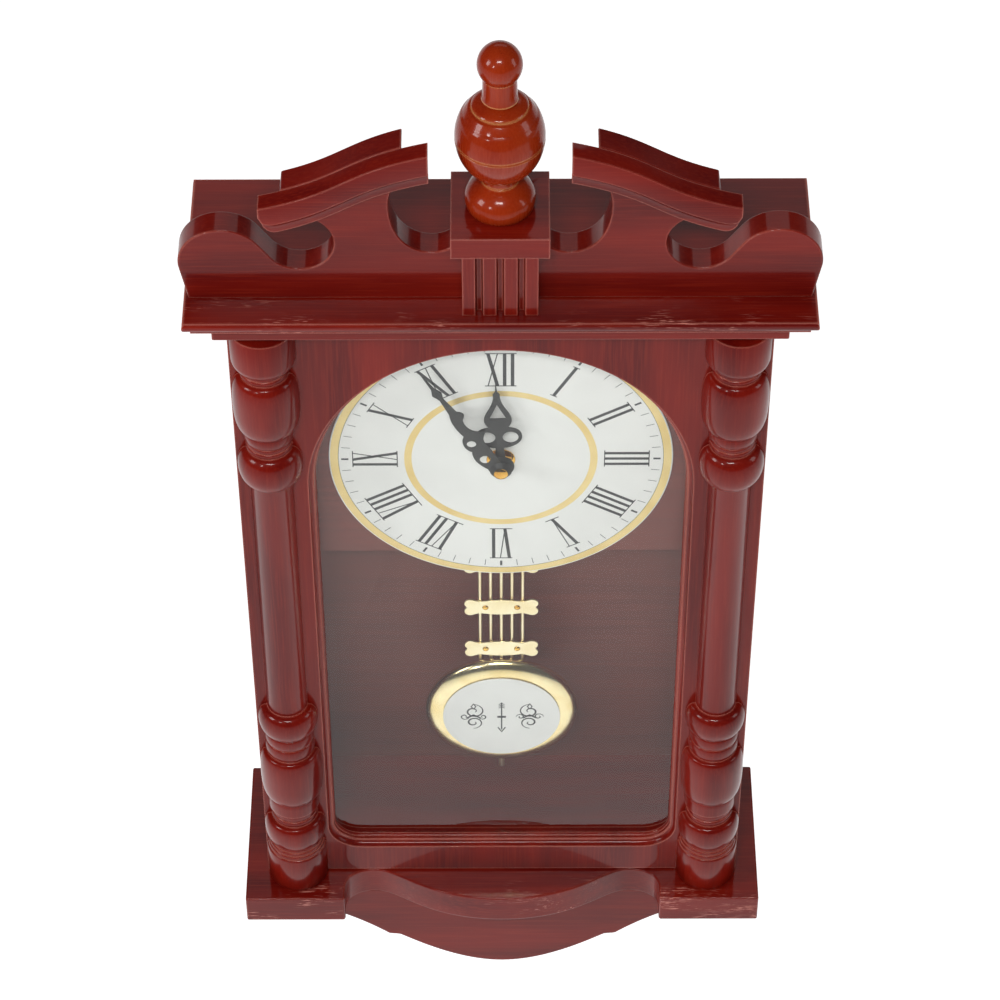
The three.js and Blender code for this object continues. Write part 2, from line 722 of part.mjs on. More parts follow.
// Turned column from foot to top, [radius, height above the foot].
function columnProfile(height) {
  const foot = columnRadius;
  const fromTop = (profile) => profile.map(([r, d]) => [r, height - d]);
  const lower = [
    [0, 0],
    [foot - 0.5, 0],
    [foot, 0.8],
    [foot, 28],
    [foot - 0.6, 29.3],
    [17, 29.6],
    [17.2, 31],
    [16.2, 32.2],
    [16.4, 33.6],
    [15.4, 34.6],
    [15.6, 36],
    [15, 37],
    ...swelling(37, 57.5, 15, 18.7, 2.2, 6),
    [13.6, 58.2],
    [14, 60.5],
    [13.2, 62],
    [13.8, 65],
    [13.4, 67.6],
    [15.4, 68.4],
    [15.6, 74],
    [15.2, 79.8],
    ...swelling(80.4, 120.4, 15, 18.8, 2.6, 7),
    ...swelling(121, 130.6, 13.9, 15, 2, 2),
    ...swelling(131.2, 139.6, 13.9, 14.9, 2, 2),
    ...swelling(140.2, 161, 13, 17.8, 2.1, 6),
    [shaftRadius, 161.8],
  ];
  const upper = fromTop([
    [shaftRadius, 115],
    ...swelling(114.6, 89.8, shaftRadius + 0.4, 18.1, 2.1, 6),
    [12.6, 89.2],
    [13.1, 87.6],
    [12.3, 86.2],
    [12.8, 84.6],
    [12.1, 83],
    [13.4, 81.2],
    [13.8, 78],
    [13.4, 74.6],
    ...swelling(74, 34, 13.3, 18.4, 2.6, 7),
    [12.8, 33],
    [13.3, 31],
    [12.6, 29.2],
    [13, 27.4],
    [15.4, 25.6],
    [17, 23.4],
    [17.7, 20.6],
    [17.7, 0.8],
    [17.2, 0],
    [0, 0],
  ]);
  return [...lower, ...upper];
}

function makeColumns() {
  const zFoot = zDoorFoot + gap;
  const height = zDoorTop - columnTopDrop - zFoot;
  const yFlat = yDoor - gap;
  for (const [name, s] of sides) {
    const whole = turned(columnProfile(height), 16).translate(s * columnX, yDoor + columnSet, zFoot);
    const reach = columnRadius + 4;
    const front = box(
      [s * columnX - reach, s * columnX + reach],
      [yFlat - 2 * reach, yFlat],
      [zFoot - 1, zFoot + height + 1],
    );
    add(`column_${name}`, common(whole, front), mahogany());
  }
}

// One leaf of a butt hinge with its knuckles, bored for the pin.
function hingeLeaf(z, ySpan, knuckles) {
  const leaf = box([innerHalf + 1, hingeX], ySpan, [z - hingeLength / 2, z + hingeLength / 2]);
  const axis = [hingeX, hingeY];
  const barrels = knuckles.map(([low, high]) => rod("z", knuckleRadius, [z + low, z + high], axis, 16));
  const inner = hingeX - knuckleRadius - gap;
  const notches = gapsBetween(knuckles).map(([low, high]) =>
    box([inner, hingeX + 1], [ySpan[0] - 1, ySpan[1] + 1], [z + low, z + high]),
  );
  const bore = rod("z", pinRadius + runClear, [z - hingeLength, z + hingeLength], axis, 16);
  return cut(join(cut(leaf, ...notches), ...barrels), bore);
}

// The stretches of the hinge's length that its other leaf's knuckles use.
function gapsBetween(knuckles) {
  const half = hingeLength / 2;
  const ends = [-half - 1, ...knuckles.flat(), half + 1];
  const spans = [];
  for (let i = 0; i < ends.length; i += 2) spans.push([ends[i], ends[i + 1]]);
  return spans.filter(([low, high]) => high - low > 1.5);
}

function makeHinges() {
  const third = hingeLength / 6;
  const half = hingeLength / 2;
  const labels = ["upper", "lower"];
  hingeHeights().forEach((z, i) => {
    const caseLeaf = hingeLeaf(z, [yCase, yCase + leafThick], [[-half, -third - gap], [third + gap, half]]);
    const doorLeaf = hingeLeaf(z, [yDoorBack - leafThick, yDoorBack], [[-third, third]]);
    add(`hinge_${labels[i]}_case_leaf`, caseLeaf, brass());
    add(`hinge_${labels[i]}_door_leaf`, doorLeaf, brass());
    const reach = half + gap;
    const tip = reach + pinHead / 2;
    const shank = rod("z", pinRadius, [z - tip, z + tip], [hingeX, hingeY], 16);
    const tips = [-1, 1].map((s) =>
      rod("z", 2 * pinHead, [z + s * reach, z + s * (reach + pinHead)], [hingeX, hingeY], 16),
    );
    add(`hinge_${labels[i]}_pin`, join(shank, ...tips), brass());
  });
}

function makeCatch() {
  const zCatch = (zArch + zSill) / 2;
  const [wide, tall, deep] = [17, 40, 13];
  const x0 = -innerHalf + gap;
  const plate = 0.8;
  const yStrike = yDoorBack + gap;
  const height = [zCatch - tall / 2, zCatch + tall / 2];
  const body = box([x0, x0 + wide], [yStrike + plate + gap, yCase + deep], height);
  add("catch_body", body, blackPlastic());
  const strike = box(
    [x0 + 2, x0 + wide - 3],
    [yStrike, yStrike + plate],
    [zCatch - tall / 2 + 4, zCatch + tall / 2 - 4],
  );
  add("strike_plate", strike, steel());
}

// ---------------------------------------------------------------- hanging

const plateThick = 1.6;
const slotRadius = 2.2;
const headRadius = 4.6;
const slotRun = 11; // slot's top end to the centre of the round hole

// A round hole for the screw's head that narrows to a slot whose top end is the hang point.
function keyhole(y0, y1) {
  const meet = Math.asin(slotRadius / headRadius);
  const [left, right] = [Math.PI / 2 + meet, Math.PI / 2 - meet];
  const outline = new THREE.Shape();
  outline.absarc(0, -slotRun, headRadius, left, right + Math.PI * 2, false);
  outline.absarc(0, -slotRadius, slotRadius, 0, Math.PI, false);
  return slab(outline, y0, y1);
}

function hangerPlate(spread, y0, y1) {
  const half = 9 + spread;
  return box([-half, half], [y0, y1], [-17.5 - spread, 11 + spread]);
}

function cutForHanger(rail) {
  const pocket = hangerPlate(gap, -plateThick - gap, 1);
  const reach = headRadius + 2;
  const well = box([-reach, reach], [-plateThick - 8, 1], [-slotRun - reach, reach]);
  return cut(rail, pocket, well);
}

function makeHanger() {
  add("hanger_plate", cut(hangerPlate(0, -plateThick, 0), keyhole(-plateThick - 1, 1)), steel());
}

// ---------------------------------------------------------------- dial, movement and hands

function makeDial() {
  const half = innerHalf - gap;
  const foot = zDial - dialRadius + dialBoardShow;
  const board = box([-half, half], [yDialBoard, yDialBoard + dialBoardThick], [foot, zCaseTop - gap]);
  const bore = rod("y", bushRadius + gap, [yDialBoard - 1, yDialBoard + stock], [0, zDial]);
  add("dial_board", cut(board, bore), hardboard());
  const inner = bushRadius + gap;
  const rim = 1.2;
  const disc = faced([
    [inner, yDial + dialThick],
    [inner, yDial],
    [dialRadius - rim, yDial],
    [dialRadius, yDial + dialThick * 0.5],
    [dialRadius, yDial + dialThick],
    [inner, yDial + dialThick],
  ], 40);
  add("dial_plate", disc.translate(0, 0, zDial), whiteEnamel());
}

const yWasher = yDial - gap;
const washerThick = 0.8;
const yNut = yWasher - washerThick - gap;
const nutThick = 2.4;
const toothTip = 0.17; // teeth stand past the pitch circle, so meshed wheels interleave by twice this
const hourTubeRadius = 2.5;
const arborRadius = 1.6;
const yHour = yNut - nutThick - 1.4; // back of the hour hand
const hubRise = 2;
const yMinute = yHour - handThick - hubRise - 0.4; // back of the minute hand
const yCapNut = yMinute - handThick - hubRise + 0.6;

function makeMovement() {
  const half = moveWidth / 2;
  const [zLow, zHigh] = [zDial - moveBelow, zDial + moveAbove];
  const shell = box([-half, half], [yMove, yMoveBack], [zLow, zHigh]);
  const hollow = box(
    [-half + moveWall, half - moveWall],
    [yMove + moveWall, yMoveBack + 1],
    [zLow + moveWall, zHigh - moveWall],
  );
  const yBushEnd = yNut - nutThick - 0.6;
  const bush = rod("y", bushRadius, [yBushEnd, yMove + 1], [0, zDial]);
  const post = rod("y", postRadius, [yMove + 1, yLever + leverThick + 3], [0, zPivot], 16);
  const bore = rod("y", hourTubeRadius + runClear, [yBushEnd - 1, yMove + moveWall + 1], [0, zDial]);
  const leverSlot = box([-9, 9], [yLever - 0.8, yBar + barThick + 1.6], [zLow - 1, zLow + moveWall + 1]);
  const body = cut(join(cut(shell, hollow), bush, post), bore, leverSlot);
  add("movement_housing", body, blackPlastic());

  const yCover = yMoveBack + gap;
  const cover = box([-half, half], [yCover, yCover + coverThick], [zLow, zHigh]);
  const zBattery = batteryHeight();
  const bay = box(
    [-batteryLength / 2 - 1, batteryLength / 2 + 1],
    [yCover - 1, yCover + coverThick + 1],
    [zBattery - batteryRadius - 1, zBattery + batteryRadius + 1],
  );
  const knobHole = rod("y", 1.6 + runClear, [yCover - 1, yCover + stock], [0, zDial + gearDistance]);
  add("movement_cover", cut(cover, bay, knobHole), blackPlastic());
  makeMovementInside(yCover);
}

const batteryHeight = () => zDial - moveBelow + moveWall + batteryRadius + 2;

function makeMovementInside(yCover) {
  const yBoardFront = yMove + 13;
  const pcb = box([-24, 24], [yBoardFront, yBoardFront + 1.2], [zDial - 24, zDial + 7]);
  add("circuit_board", pcb, circuitGreen());
  const coilZ = zDial + 3;
  const core = rod("z", 1.4, [coilZ - 11, coilZ + 11], [20, yMove + 8], 16);
  const winding = rod("z", 4, [coilZ - 8, coilZ + 8], [20, yMove + 8], 20);
  add("motor_coil", join(core, winding), copper());
  const yBattery = yCover + coverThick - batteryRadius - 0.4;
  const zBattery = batteryHeight();
  const half = batteryLength / 2;
  const cell = rod("x", batteryRadius, [-half, half - 1.4], [yBattery, zBattery]);
  const nub = rod("x", 2.7, [half - 2, half], [yBattery, zBattery], 16);
  add("battery", join(cell, nub), steel());
}

function makeClampNut() {
  const washer = faced([
    [bushRadius + gap, yWasher],
    [bushRadius + gap, yWasher - washerThick],
    [washerRadius, yWasher - washerThick],
    [washerRadius, yWasher],
    [bushRadius + gap, yWasher],
  ], 20);
  add("mounting_washer", washer.translate(0, 0, zDial), brass());
  const hexRadius = nutFlats / Math.sqrt(3);
  const hex = new THREE.CylinderGeometry(hexRadius, hexRadius, nutThick, 6);
  const bore = rod("y", bushRadius + gap, [yNut - stock, yNut + stock], [0, zDial]);
  add("mounting_nut", cut(hex.translate(0, yNut - nutThick / 2, zDial), bore), brass());
}

// A toothed wheel about the Y axis with its centre at x = 0 and the given height; one tooth
// points along the angle heading, measured from +X towards +Z.
function gear(teeth, pitchRadius, toothHeight, [y0, y1], z, heading) {
  const tip = pitchRadius + toothTip;
  const points = [];
  for (let i = 0; i < teeth; i++) {
    [-0.1, 0.1, 0.3, 0.7].forEach((part, k) => {
      const a = heading + ((i + part) / teeth) * Math.PI * 2;
      const r = k < 2 ? tip : tip - toothHeight;
      points.push(new THREE.Vector2(r * Math.cos(a), r * Math.sin(a)));
    });
  }
  return slab(new THREE.Shape(points), y0, y1).translate(0, 0, z);
}

// Hand outlines stand upright with the hub at the origin; each is turned to its hour later.
function ringPath(cx, cz, radius) {
  return new THREE.Path().absarc(cx, cz, radius, 0, Math.PI * 2, false);
}

function hourOutline() {
  const tip = hourLength;
  const s = new THREE.Shape().moveTo(-3.4, 0);
  s.lineTo(-2.2, tip * 0.22);
  s.bezierCurveTo(-9, tip * 0.23, -14, tip * 0.3, -12.6, tip * 0.38);
  s.bezierCurveTo(-11.6, tip * 0.45, -7, tip * 0.46, -5.2, tip * 0.46);
  s.bezierCurveTo(-9.5, tip * 0.54, -7.4, tip * 0.6, -4.6, tip * 0.68);
  s.bezierCurveTo(-2.4, tip * 0.75, -1.6, tip * 0.8, -2, tip * 0.85);
  s.lineTo(-0.6, tip * 0.88).lineTo(0, tip).lineTo(0.6, tip * 0.88).lineTo(2, tip * 0.85);
  s.bezierCurveTo(1.6, tip * 0.8, 2.4, tip * 0.75, 4.6, tip * 0.68);
  s.bezierCurveTo(7.4, tip * 0.6, 9.5, tip * 0.54, 5.2, tip * 0.46);
  s.bezierCurveTo(7, tip * 0.46, 11.6, tip * 0.45, 12.6, tip * 0.38);
  s.bezierCurveTo(14, tip * 0.3, 9, tip * 0.23, 2.2, tip * 0.22);
  s.lineTo(3.4, 0);
  s.holes.push(ringPath(-6.4, tip * 0.345, 4.4), ringPath(6.4, tip * 0.345, 4.4));
  const window = new THREE.Path().moveTo(4.6, tip * 0.57).lineTo(0, tip * 0.73).lineTo(-4.6, tip * 0.57);
  s.holes.push(window);
  return s;
}

function minuteOutline() {
  const tip = minuteLength;
  const s = new THREE.Shape().moveTo(-3.2, 0);
  s.bezierCurveTo(-8, tip * 0.08, -10, tip * 0.16, -6.4, tip * 0.23);
  s.bezierCurveTo(-9, tip * 0.26, -8.6, tip * 0.34, -4.2, tip * 0.37);
  s.bezierCurveTo(-5.6, tip * 0.46, -4.4, tip * 0.54, -2.4, tip * 0.58);
  s.lineTo(-1.2, tip * 0.72).lineTo(-3, tip * 0.77).lineTo(-1, tip * 0.82).lineTo(0, tip);
  s.lineTo(1, tip * 0.82).lineTo(3, tip * 0.77).lineTo(1.2, tip * 0.72).lineTo(2.2, tip * 0.58);
  s.bezierCurveTo(6, tip * 0.55, 5, tip * 0.53, 2, tip * 0.5);
  s.bezierCurveTo(-0.6, tip * 0.44, 1.4, tip * 0.36, 8.4, tip * 0.35);
  s.bezierCurveTo(5, tip * 0.3, 2.4, tip * 0.3, 3.6, tip * 0.2);
  s.lineTo(3.2, 0);
  s.holes.push(ringPath(-3.2, tip * 0.13, 3.1), ringPath(-3.6, tip * 0.29, 2.6));
  return s;
}

// A hand is a flat plate with a coned hub, turned clockwise from twelve as seen from the front.
function makeHand(outline, yBack, hubRadius, boreRadius, degrees) {
  const yFront = yBack - handThick;
  const plate = slab(outline, yFront, yBack, 6);
  const hub = faced([
    [0, yBack],
    [0, yFront - hubRise],
    [hubRadius * 0.62, yFront - hubRise],
    [hubRadius, yFront - 0.2],
    [hubRadius, yBack],
    [0, yBack],
  ], 20);
  const bore = rod("y", boreRadius, [yBack + 1, yFront - hubRise - 1], [0, 0], 20);
  const turn = THREE.MathUtils.degToRad(degrees);
  return cut(join(plate, hub), bore).rotateY(turn).translate(0, 0, zDial);
}

function makeHands() {
  const clear = runClear;
  const hourBore = hourTubeRadius + 0.05 + clear;
  const minuteBore = arborRadius + clear;
  const hour = makeHand(hourOutline(), yHour, 7.5, hourBore, hourAngle);
  const minute = makeHand(minuteOutline(), yMinute, 6.2, minuteBore, minuteAngle);
  add("hour_hand", hour, blackPaint());
  add("minute_hand", minute, blackPaint());

  const pitch = (teeth, mate) => (gearDistance * teeth) / (teeth + mate);
  const yWheel = yMove + moveWall + 0.5;
  const wheelThick = 1.4;
  const hourSpan = [yWheel, yWheel + wheelThick];
  const minuteSpan = [hourSpan[1] + 0.5, hourSpan[1] + 0.5 + wheelThick];
  const [up, down] = [Math.PI / 2, -Math.PI / 2];
  const zSet = zDial + gearDistance;

  const hourPitch = pitch(hourTeeth, pinionTeeth);
  const hourWheel = gear(hourTeeth, hourPitch, 1.1, hourSpan, zDial, up + Math.PI / hourTeeth);
  const tube = rod("y", hourTubeRadius, [yHour - handThick - 1.2, yWheel + 0.5], [0, zDial]);
  const tubeBore = rod("y", arborRadius + runClear, [yHour - stock, yWheel + stock], [0, zDial]);
  add("hour_wheel", cut(join(hourWheel, tube), tubeBore), blackPlastic());

  const minutePitch = pitch(pinionTeeth, settingTeeth);
  const pinion = gear(pinionTeeth, minutePitch, 1.1, minuteSpan, zDial, up);
  const arbor = rod("y", arborRadius, [yMinute - handThick - 1.2, minuteSpan[1]], [0, zDial]);
  add("minute_arbor", join(pinion, arbor), brass());

  const capNut = faced([
    [0, yCapNut - 2.6],
    [2.6, yCapNut - 2.4],
    [3.9, yCapNut - 1.6],
    [3.9, yCapNut - gap - 0.9],
    [0, yCapNut - gap - 0.9],
  ], 20);
  add("cap_nut", capNut.translate(0, 0, zDial), brass());

  const hourMate = pitch(pinionTeeth, hourTeeth);
  const minuteMate = pitch(settingTeeth, pinionTeeth);
  const settingPinion = gear(pinionTeeth, hourMate, 1.1, hourSpan, zSet, down);
  const facingGap = down + Math.PI / settingTeeth;
  const settingWheel = gear(settingTeeth, minuteMate, 1.1, minuteSpan, zSet, facingGap);
  const yKnob = yMoveBack + gap + coverThick + gap;
  const shaft = rod("y", 1.6, [yWheel, yKnob + 1], [0, zSet], 16);
  const knob = gear(16, 6.3, 0.6, [yKnob, yKnob + 5], zSet, 0);
  add("setting_knob", join(settingPinion, settingWheel, shaft, knob), whiteEnamel());
}

// ---------------------------------------------------------------- pendulum

// A stamped plate shaped like a bone: a slightly barrelled bar with a pair of lobes at each end.
function boneOutline(width, height) {
  const lobe = height * 0.26;
  const x = width / 2 - lobe;
  const z = height / 2 - lobe;
  const waist = height * 0.36;
  const s = new THREE.Shape().moveTo(0, height * 0.46);
  s.quadraticCurveTo(x * 0.5, height * 0.46, x - lobe * 1.6, waist);
  s.absarc(x, z, lobe, Math.PI * 0.7, -Math.PI * 0.28, true);
  s.absarc(x, -z, lobe, Math.PI * 0.28, -Math.PI * 0.7, true);
  s.lineTo(x - lobe * 1.6, -waist);
  s.quadraticCurveTo(x * 0.5, -height * 0.46, 0, -height * 0.46);
  const right = s.getPoints(5);
  const left = right.slice(1, -1).map((p) => new THREE.Vector2(-p.x, p.y));
  return new THREE.Shape([...right, ...left.reverse()]);
}

function makePendulum() {
  const zLeverFoot = zHook - 4;
  const eye = new THREE.Shape().absarc(0, zPivot, 4, 0, Math.PI * 2, false);
  const hub = slab(eye, yLever, yLever + leverThick, 10);
  const arm = box([-2.6, 2.6], [yLever, yLever + leverThick], [zLeverFoot, zPivot - 1]);
  const stud = rod("y", 1.3, [yLever + 0.5, yBar + barThick + 1], [0, zHook], 16);
  const keeper = rod("y", 2.4, [yBar + barThick + gap, yBar + barThick + 1.2], [0, zHook], 16);
  const bore = rod("y", postRadius + runClear, [yLever - 1, yLever + stock], [0, zPivot], 16);
  add("pendulum_lever", cut(join(hub, arm, stud, keeper), bore), blackPlastic());

  const zHangerBar = zHook - 16;
  const bar = slab(boneOutline(barWidth * 0.86, barHeight * 0.9), yBar, yBar + barThick, 6);
  const neck = box([-4, 4], [yBar, yBar + barThick], [zHangerBar, zHook]);
  const eyePlate = rod("y", 4, [yBar, yBar + barThick], [0, zHook]);
  const eyeHole = rod("y", 1.3 + runClear, [yBar - 1, yBar + barThick + 1], [0, zHook], 16);
  const hanger = cut(join(bar.translate(0, 0, zHangerBar), neck, eyePlate), eyeHole);
  add("pendulum_hanger", hanger, goldPlate());

  for (let i = 0; i < rodCount; i++) {
    const x = (i - (rodCount - 1) / 2) * rodPitch;
    const top = zHangerBar + barHeight * 0.3;
    const middle = i === (rodCount - 1) / 2;
    const foot = middle ? zBob - bobRadius - tailDrop : zBob + bobRadius - 12;
    const wire = rod("z", rodRadius, [foot, top], [x, yRod], 10);
    const ferrule = rod("z", rodRadius * 1.8, [foot, foot + tailDrop - 1], [x, yRod], 16);
    add(`pendulum_rod_${i + 1}`, middle ? join(wire, ferrule) : wire, goldPlate());
  }
  zBar.forEach((z, i) => {
    const plate = slab(boneOutline(barWidth, barHeight), yBar, yBar + barThick, 6);
    add(`pendulum_crossbar_${i + 1}`, plate.translate(0, 0, z), goldPlate());
  });
  makeBob();
}

function makeBob() {
  const wall = 0.9;
  const yRim = yBar + barThick;
  const dome = (inset, lift) =>
    [0, 0.25, 0.5, 0.75, 1].map((t) => {
      const r = bobRadius - inset - (bobRadius - bobDiscRadius - 1) * t;
      return [r, yRim - 1 - lift - bobRise * Math.sin((t * Math.PI) / 2)];
    });
  const profile = [
    [0, yRim - 1 - bobRise - wall],
    ...dome(0, wall).reverse(),
    [bobRadius, yRim],
    [bobRadius - wall, yRim],
    ...dome(wall, 0),
    [0, yRim - 1 - bobRise],
  ];
  add("bob_shell", faced(profile).translate(0, 0, zBob), brass());
  const yDisc = yRim - 1 - bobRise - wall - gap;
  const disc = rod("y", bobDiscRadius, [yDisc - 0.6, yDisc], [0, zBob], 48);
  add("bob_disc", disc, whiteEnamel());
}

// ---------------------------------------------------------------- assembly

makeCornice();
makeCase();
makePlinth();
makeApron();
makePedimentBoard();
makeScrollMouldings();
makePedestal();
makeDoor();
makeColumns();
makeHinges();
makeCatch();
makeHanger();
makeDial();
makeMovement();
makeClampNut();
makeHands();
makePendulum();

export default clock;
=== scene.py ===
"""Looks of a pendulum wall clock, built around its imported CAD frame.

The clock is a mahogany-stained case that hangs on a wall. Each sub-assembly is a class that reads
its places from the frame, builds its meshes in metres and dresses them with a finish. The wall
plane is y = 0, the clock faces -Y and +Z is up; the origin is the hang point.
"""

import json
import logging
import math
from dataclasses import dataclass, field
from enum import Enum
from typing import Iterable, Optional, Sequence, Union

import bmesh
import bpy
from mathutils import Matrix, Vector
from mathutils.geometry import tessellate_polygon

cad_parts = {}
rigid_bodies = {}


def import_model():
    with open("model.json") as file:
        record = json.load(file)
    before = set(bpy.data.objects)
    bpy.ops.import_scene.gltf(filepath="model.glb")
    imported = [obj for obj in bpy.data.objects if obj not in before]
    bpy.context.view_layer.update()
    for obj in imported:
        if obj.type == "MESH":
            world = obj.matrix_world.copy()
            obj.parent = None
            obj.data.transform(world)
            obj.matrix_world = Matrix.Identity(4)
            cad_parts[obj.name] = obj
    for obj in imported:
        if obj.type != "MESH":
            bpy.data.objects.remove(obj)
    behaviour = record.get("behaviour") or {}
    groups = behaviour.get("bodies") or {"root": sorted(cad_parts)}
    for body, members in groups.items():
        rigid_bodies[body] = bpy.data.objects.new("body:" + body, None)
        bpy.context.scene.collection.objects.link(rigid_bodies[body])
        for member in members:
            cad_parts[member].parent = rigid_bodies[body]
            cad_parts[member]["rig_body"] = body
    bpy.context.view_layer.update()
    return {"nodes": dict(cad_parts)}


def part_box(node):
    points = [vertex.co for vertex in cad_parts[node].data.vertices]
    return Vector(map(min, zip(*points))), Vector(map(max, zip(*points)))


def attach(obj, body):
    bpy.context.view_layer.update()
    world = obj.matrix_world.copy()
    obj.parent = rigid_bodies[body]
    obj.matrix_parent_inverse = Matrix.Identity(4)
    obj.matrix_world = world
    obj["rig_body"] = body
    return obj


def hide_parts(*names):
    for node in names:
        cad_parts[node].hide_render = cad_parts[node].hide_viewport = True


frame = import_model()

LOG = logging.getLogger("clock")
MM = 0.001
ROUND = 96  # segments round a turned piece that shows
FINE = 32  # segments round a small turned piece

Point = tuple[float, float]
Ring = list[Vector]
Setting = Union[int, float, str, bool, tuple, list]


class Axis(Enum):
    """A direction of the clock's own frame."""

    X = 0
    Y = 1
    Z = 2


# ------------------------------------------------------------------------------ shader building


def linear(colour: str) -> tuple[float, float, float, float]:
    """Turns an sRGB hex colour into linear light.

    Args:
        colour: Six hex digits with a leading hash.

    Returns:
        Red, green, blue and an alpha of one.
    """
    values = [int(colour[i : i + 2], 16) / 255 for i in (1, 3, 5)]
    light = [v / 12.92 if v <= 0.04045 else ((v + 0.055) / 1.055) ** 2.4 for v in values]
    return (light[0], light[1], light[2], 1.0)


def add(
    tree: bpy.types.NodeTree,
    kind: str,
    settings: Optional[dict[Union[str, int], Setting]] = None,
    links: Optional[dict[Union[str, int], bpy.types.NodeSocket]] = None,
) -> bpy.types.Node:
    """Adds a node with its settings and links.

    Args:
        tree: Node tree that takes the node.
        kind: Type name of the node, without its leading ShaderNode.
        settings: Property names, or socket names and numbers, with their values.
        links: Input socket names or numbers with the output that feeds each.

    Returns:
        The new node.
    """
    node = tree.nodes.new("ShaderNode" + kind)
    for key, value in (settings or {}).items():
        if isinstance(key, str) and hasattr(node, key):
            setattr(node, key, value)
        else:
            node.inputs[key].default_value = value
    for key, source in (links or {}).items():
        tree.links.new(source, node.inputs[key])
    return node


def ramp(
    tree: bpy.types.NodeTree, source: bpy.types.NodeSocket, low: float, high: float
) -> bpy.types.NodeSocket:
    """Maps low..high to 0..1, clamped and eased.

    Args:
        tree: Node tree that takes the node.
        source: Value to map.
        low: Value that becomes 0.
        high: Value that becomes 1.

    Returns:
        The mapped value's socket.
    """
    settings = {"interpolation_type": "SMOOTHSTEP", "From Min": low, "From Max": high}
    return add(tree, "MapRange", settings, {"Value": source}).outputs["Result"]


def blend(
    tree: bpy.types.NodeTree,
    factor: Union[float, bpy.types.NodeSocket],
    first: Union[tuple, bpy.types.NodeSocket],
    second: Union[tuple, bpy.types.NodeSocket],
    mode: str = "MIX",
) -> bpy.types.NodeSocket:
    """Mixes two colours.

    Args:
        tree: Node tree that takes the node.
        factor: Share of the second colour, as a number or a socket.
        first: Colour or socket at factor 0.
        second: Colour or socket at factor 1.
        mode: Blend mode of the mix.

    Returns:
        The mixed colour's socket.
    """
    settings: dict[Union[str, int], Setting] = {"data_type": "RGBA", "blend_type": mode}
    links: dict[Union[str, int], bpy.types.NodeSocket] = {}
    for index, value in ((0, factor), (6, first), (7, second)):
        if isinstance(value, bpy.types.NodeSocket):
            links[index] = value
        else:
            settings[index] = value
    return add(tree, "Mix", settings, links).outputs[2]


def noise(
    tree: bpy.types.NodeTree, place: bpy.types.NodeSocket, scale: float, detail: float = 3.0
) -> bpy.types.NodeSocket:
    """Adds a noise texture and gives its value.

    Args:
        tree: Node tree that takes the node.
        place: Coordinates.
        scale: Features per unit of the coordinates.
        detail: Octaves.

    Returns:
        The noise value's socket.
    """
    settings = {"Scale": scale, "Detail": detail, "Roughness": 0.55}
    return add(tree, "TexNoise", settings, {"Vector": place}).outputs[0]


def stretched(tree: bpy.types.NodeTree, spans: Sequence[float]) -> bpy.types.NodeSocket:
    """Gives object coordinates measured in pattern spans, so a noise of scale 1 has that size.

    Args:
        tree: Node tree that takes the nodes.
        spans: Size of one pattern feature along X, Y and Z, in millimetres.

    Returns:
        The scaled coordinates' socket.
    """
    place = add(tree, "TexCoord").outputs["Object"]
    scale = tuple(1 / (span * MM) for span in spans)
    return add(tree, "Mapping", {"Scale": scale}, {"Vector": place}).outputs[0]


def bump(
    tree: bpy.types.NodeTree, height: bpy.types.NodeSocket, depth: float, strength: float = 1.0
) -> bpy.types.NodeSocket:
    """Adds a bump node.

    Args:
        tree: Node tree that takes the node.
        height: Height pattern from 0 to 1.
        depth: Real height of the pattern in millimetres.
        strength: Share of the bump that shows.

    Returns:
        The bumped normal's socket.
    """
    settings = {"Strength": strength, "Distance": depth * MM}
    return add(tree, "Bump", settings, {"Height": height}).outputs[0]


@dataclass(frozen=True)
class Finish:
    """A surface finish; subclasses say what it is made of."""

    label: str

    def build(self) -> bpy.types.Material:
        """Gives the finish's material, made once and then shared.

        Returns:
            The material.
        """
        known = bpy.data.materials.get(self.label)
        if known:
            return known
        material = bpy.data.materials.new(self.label)
        material.use_nodes = True
        tree = material.node_tree
        tree.nodes.clear()
        shader = self.shade(tree)
        add(tree, "OutputMaterial", None, {"Surface": shader})
        return material

    def shade(self, tree: bpy.types.NodeTree) -> bpy.types.NodeSocket:
        """Builds the shader.

        Args:
            tree: The material's empty node tree.

        Returns:
            The surface's socket.
        """
        raise NotImplementedError


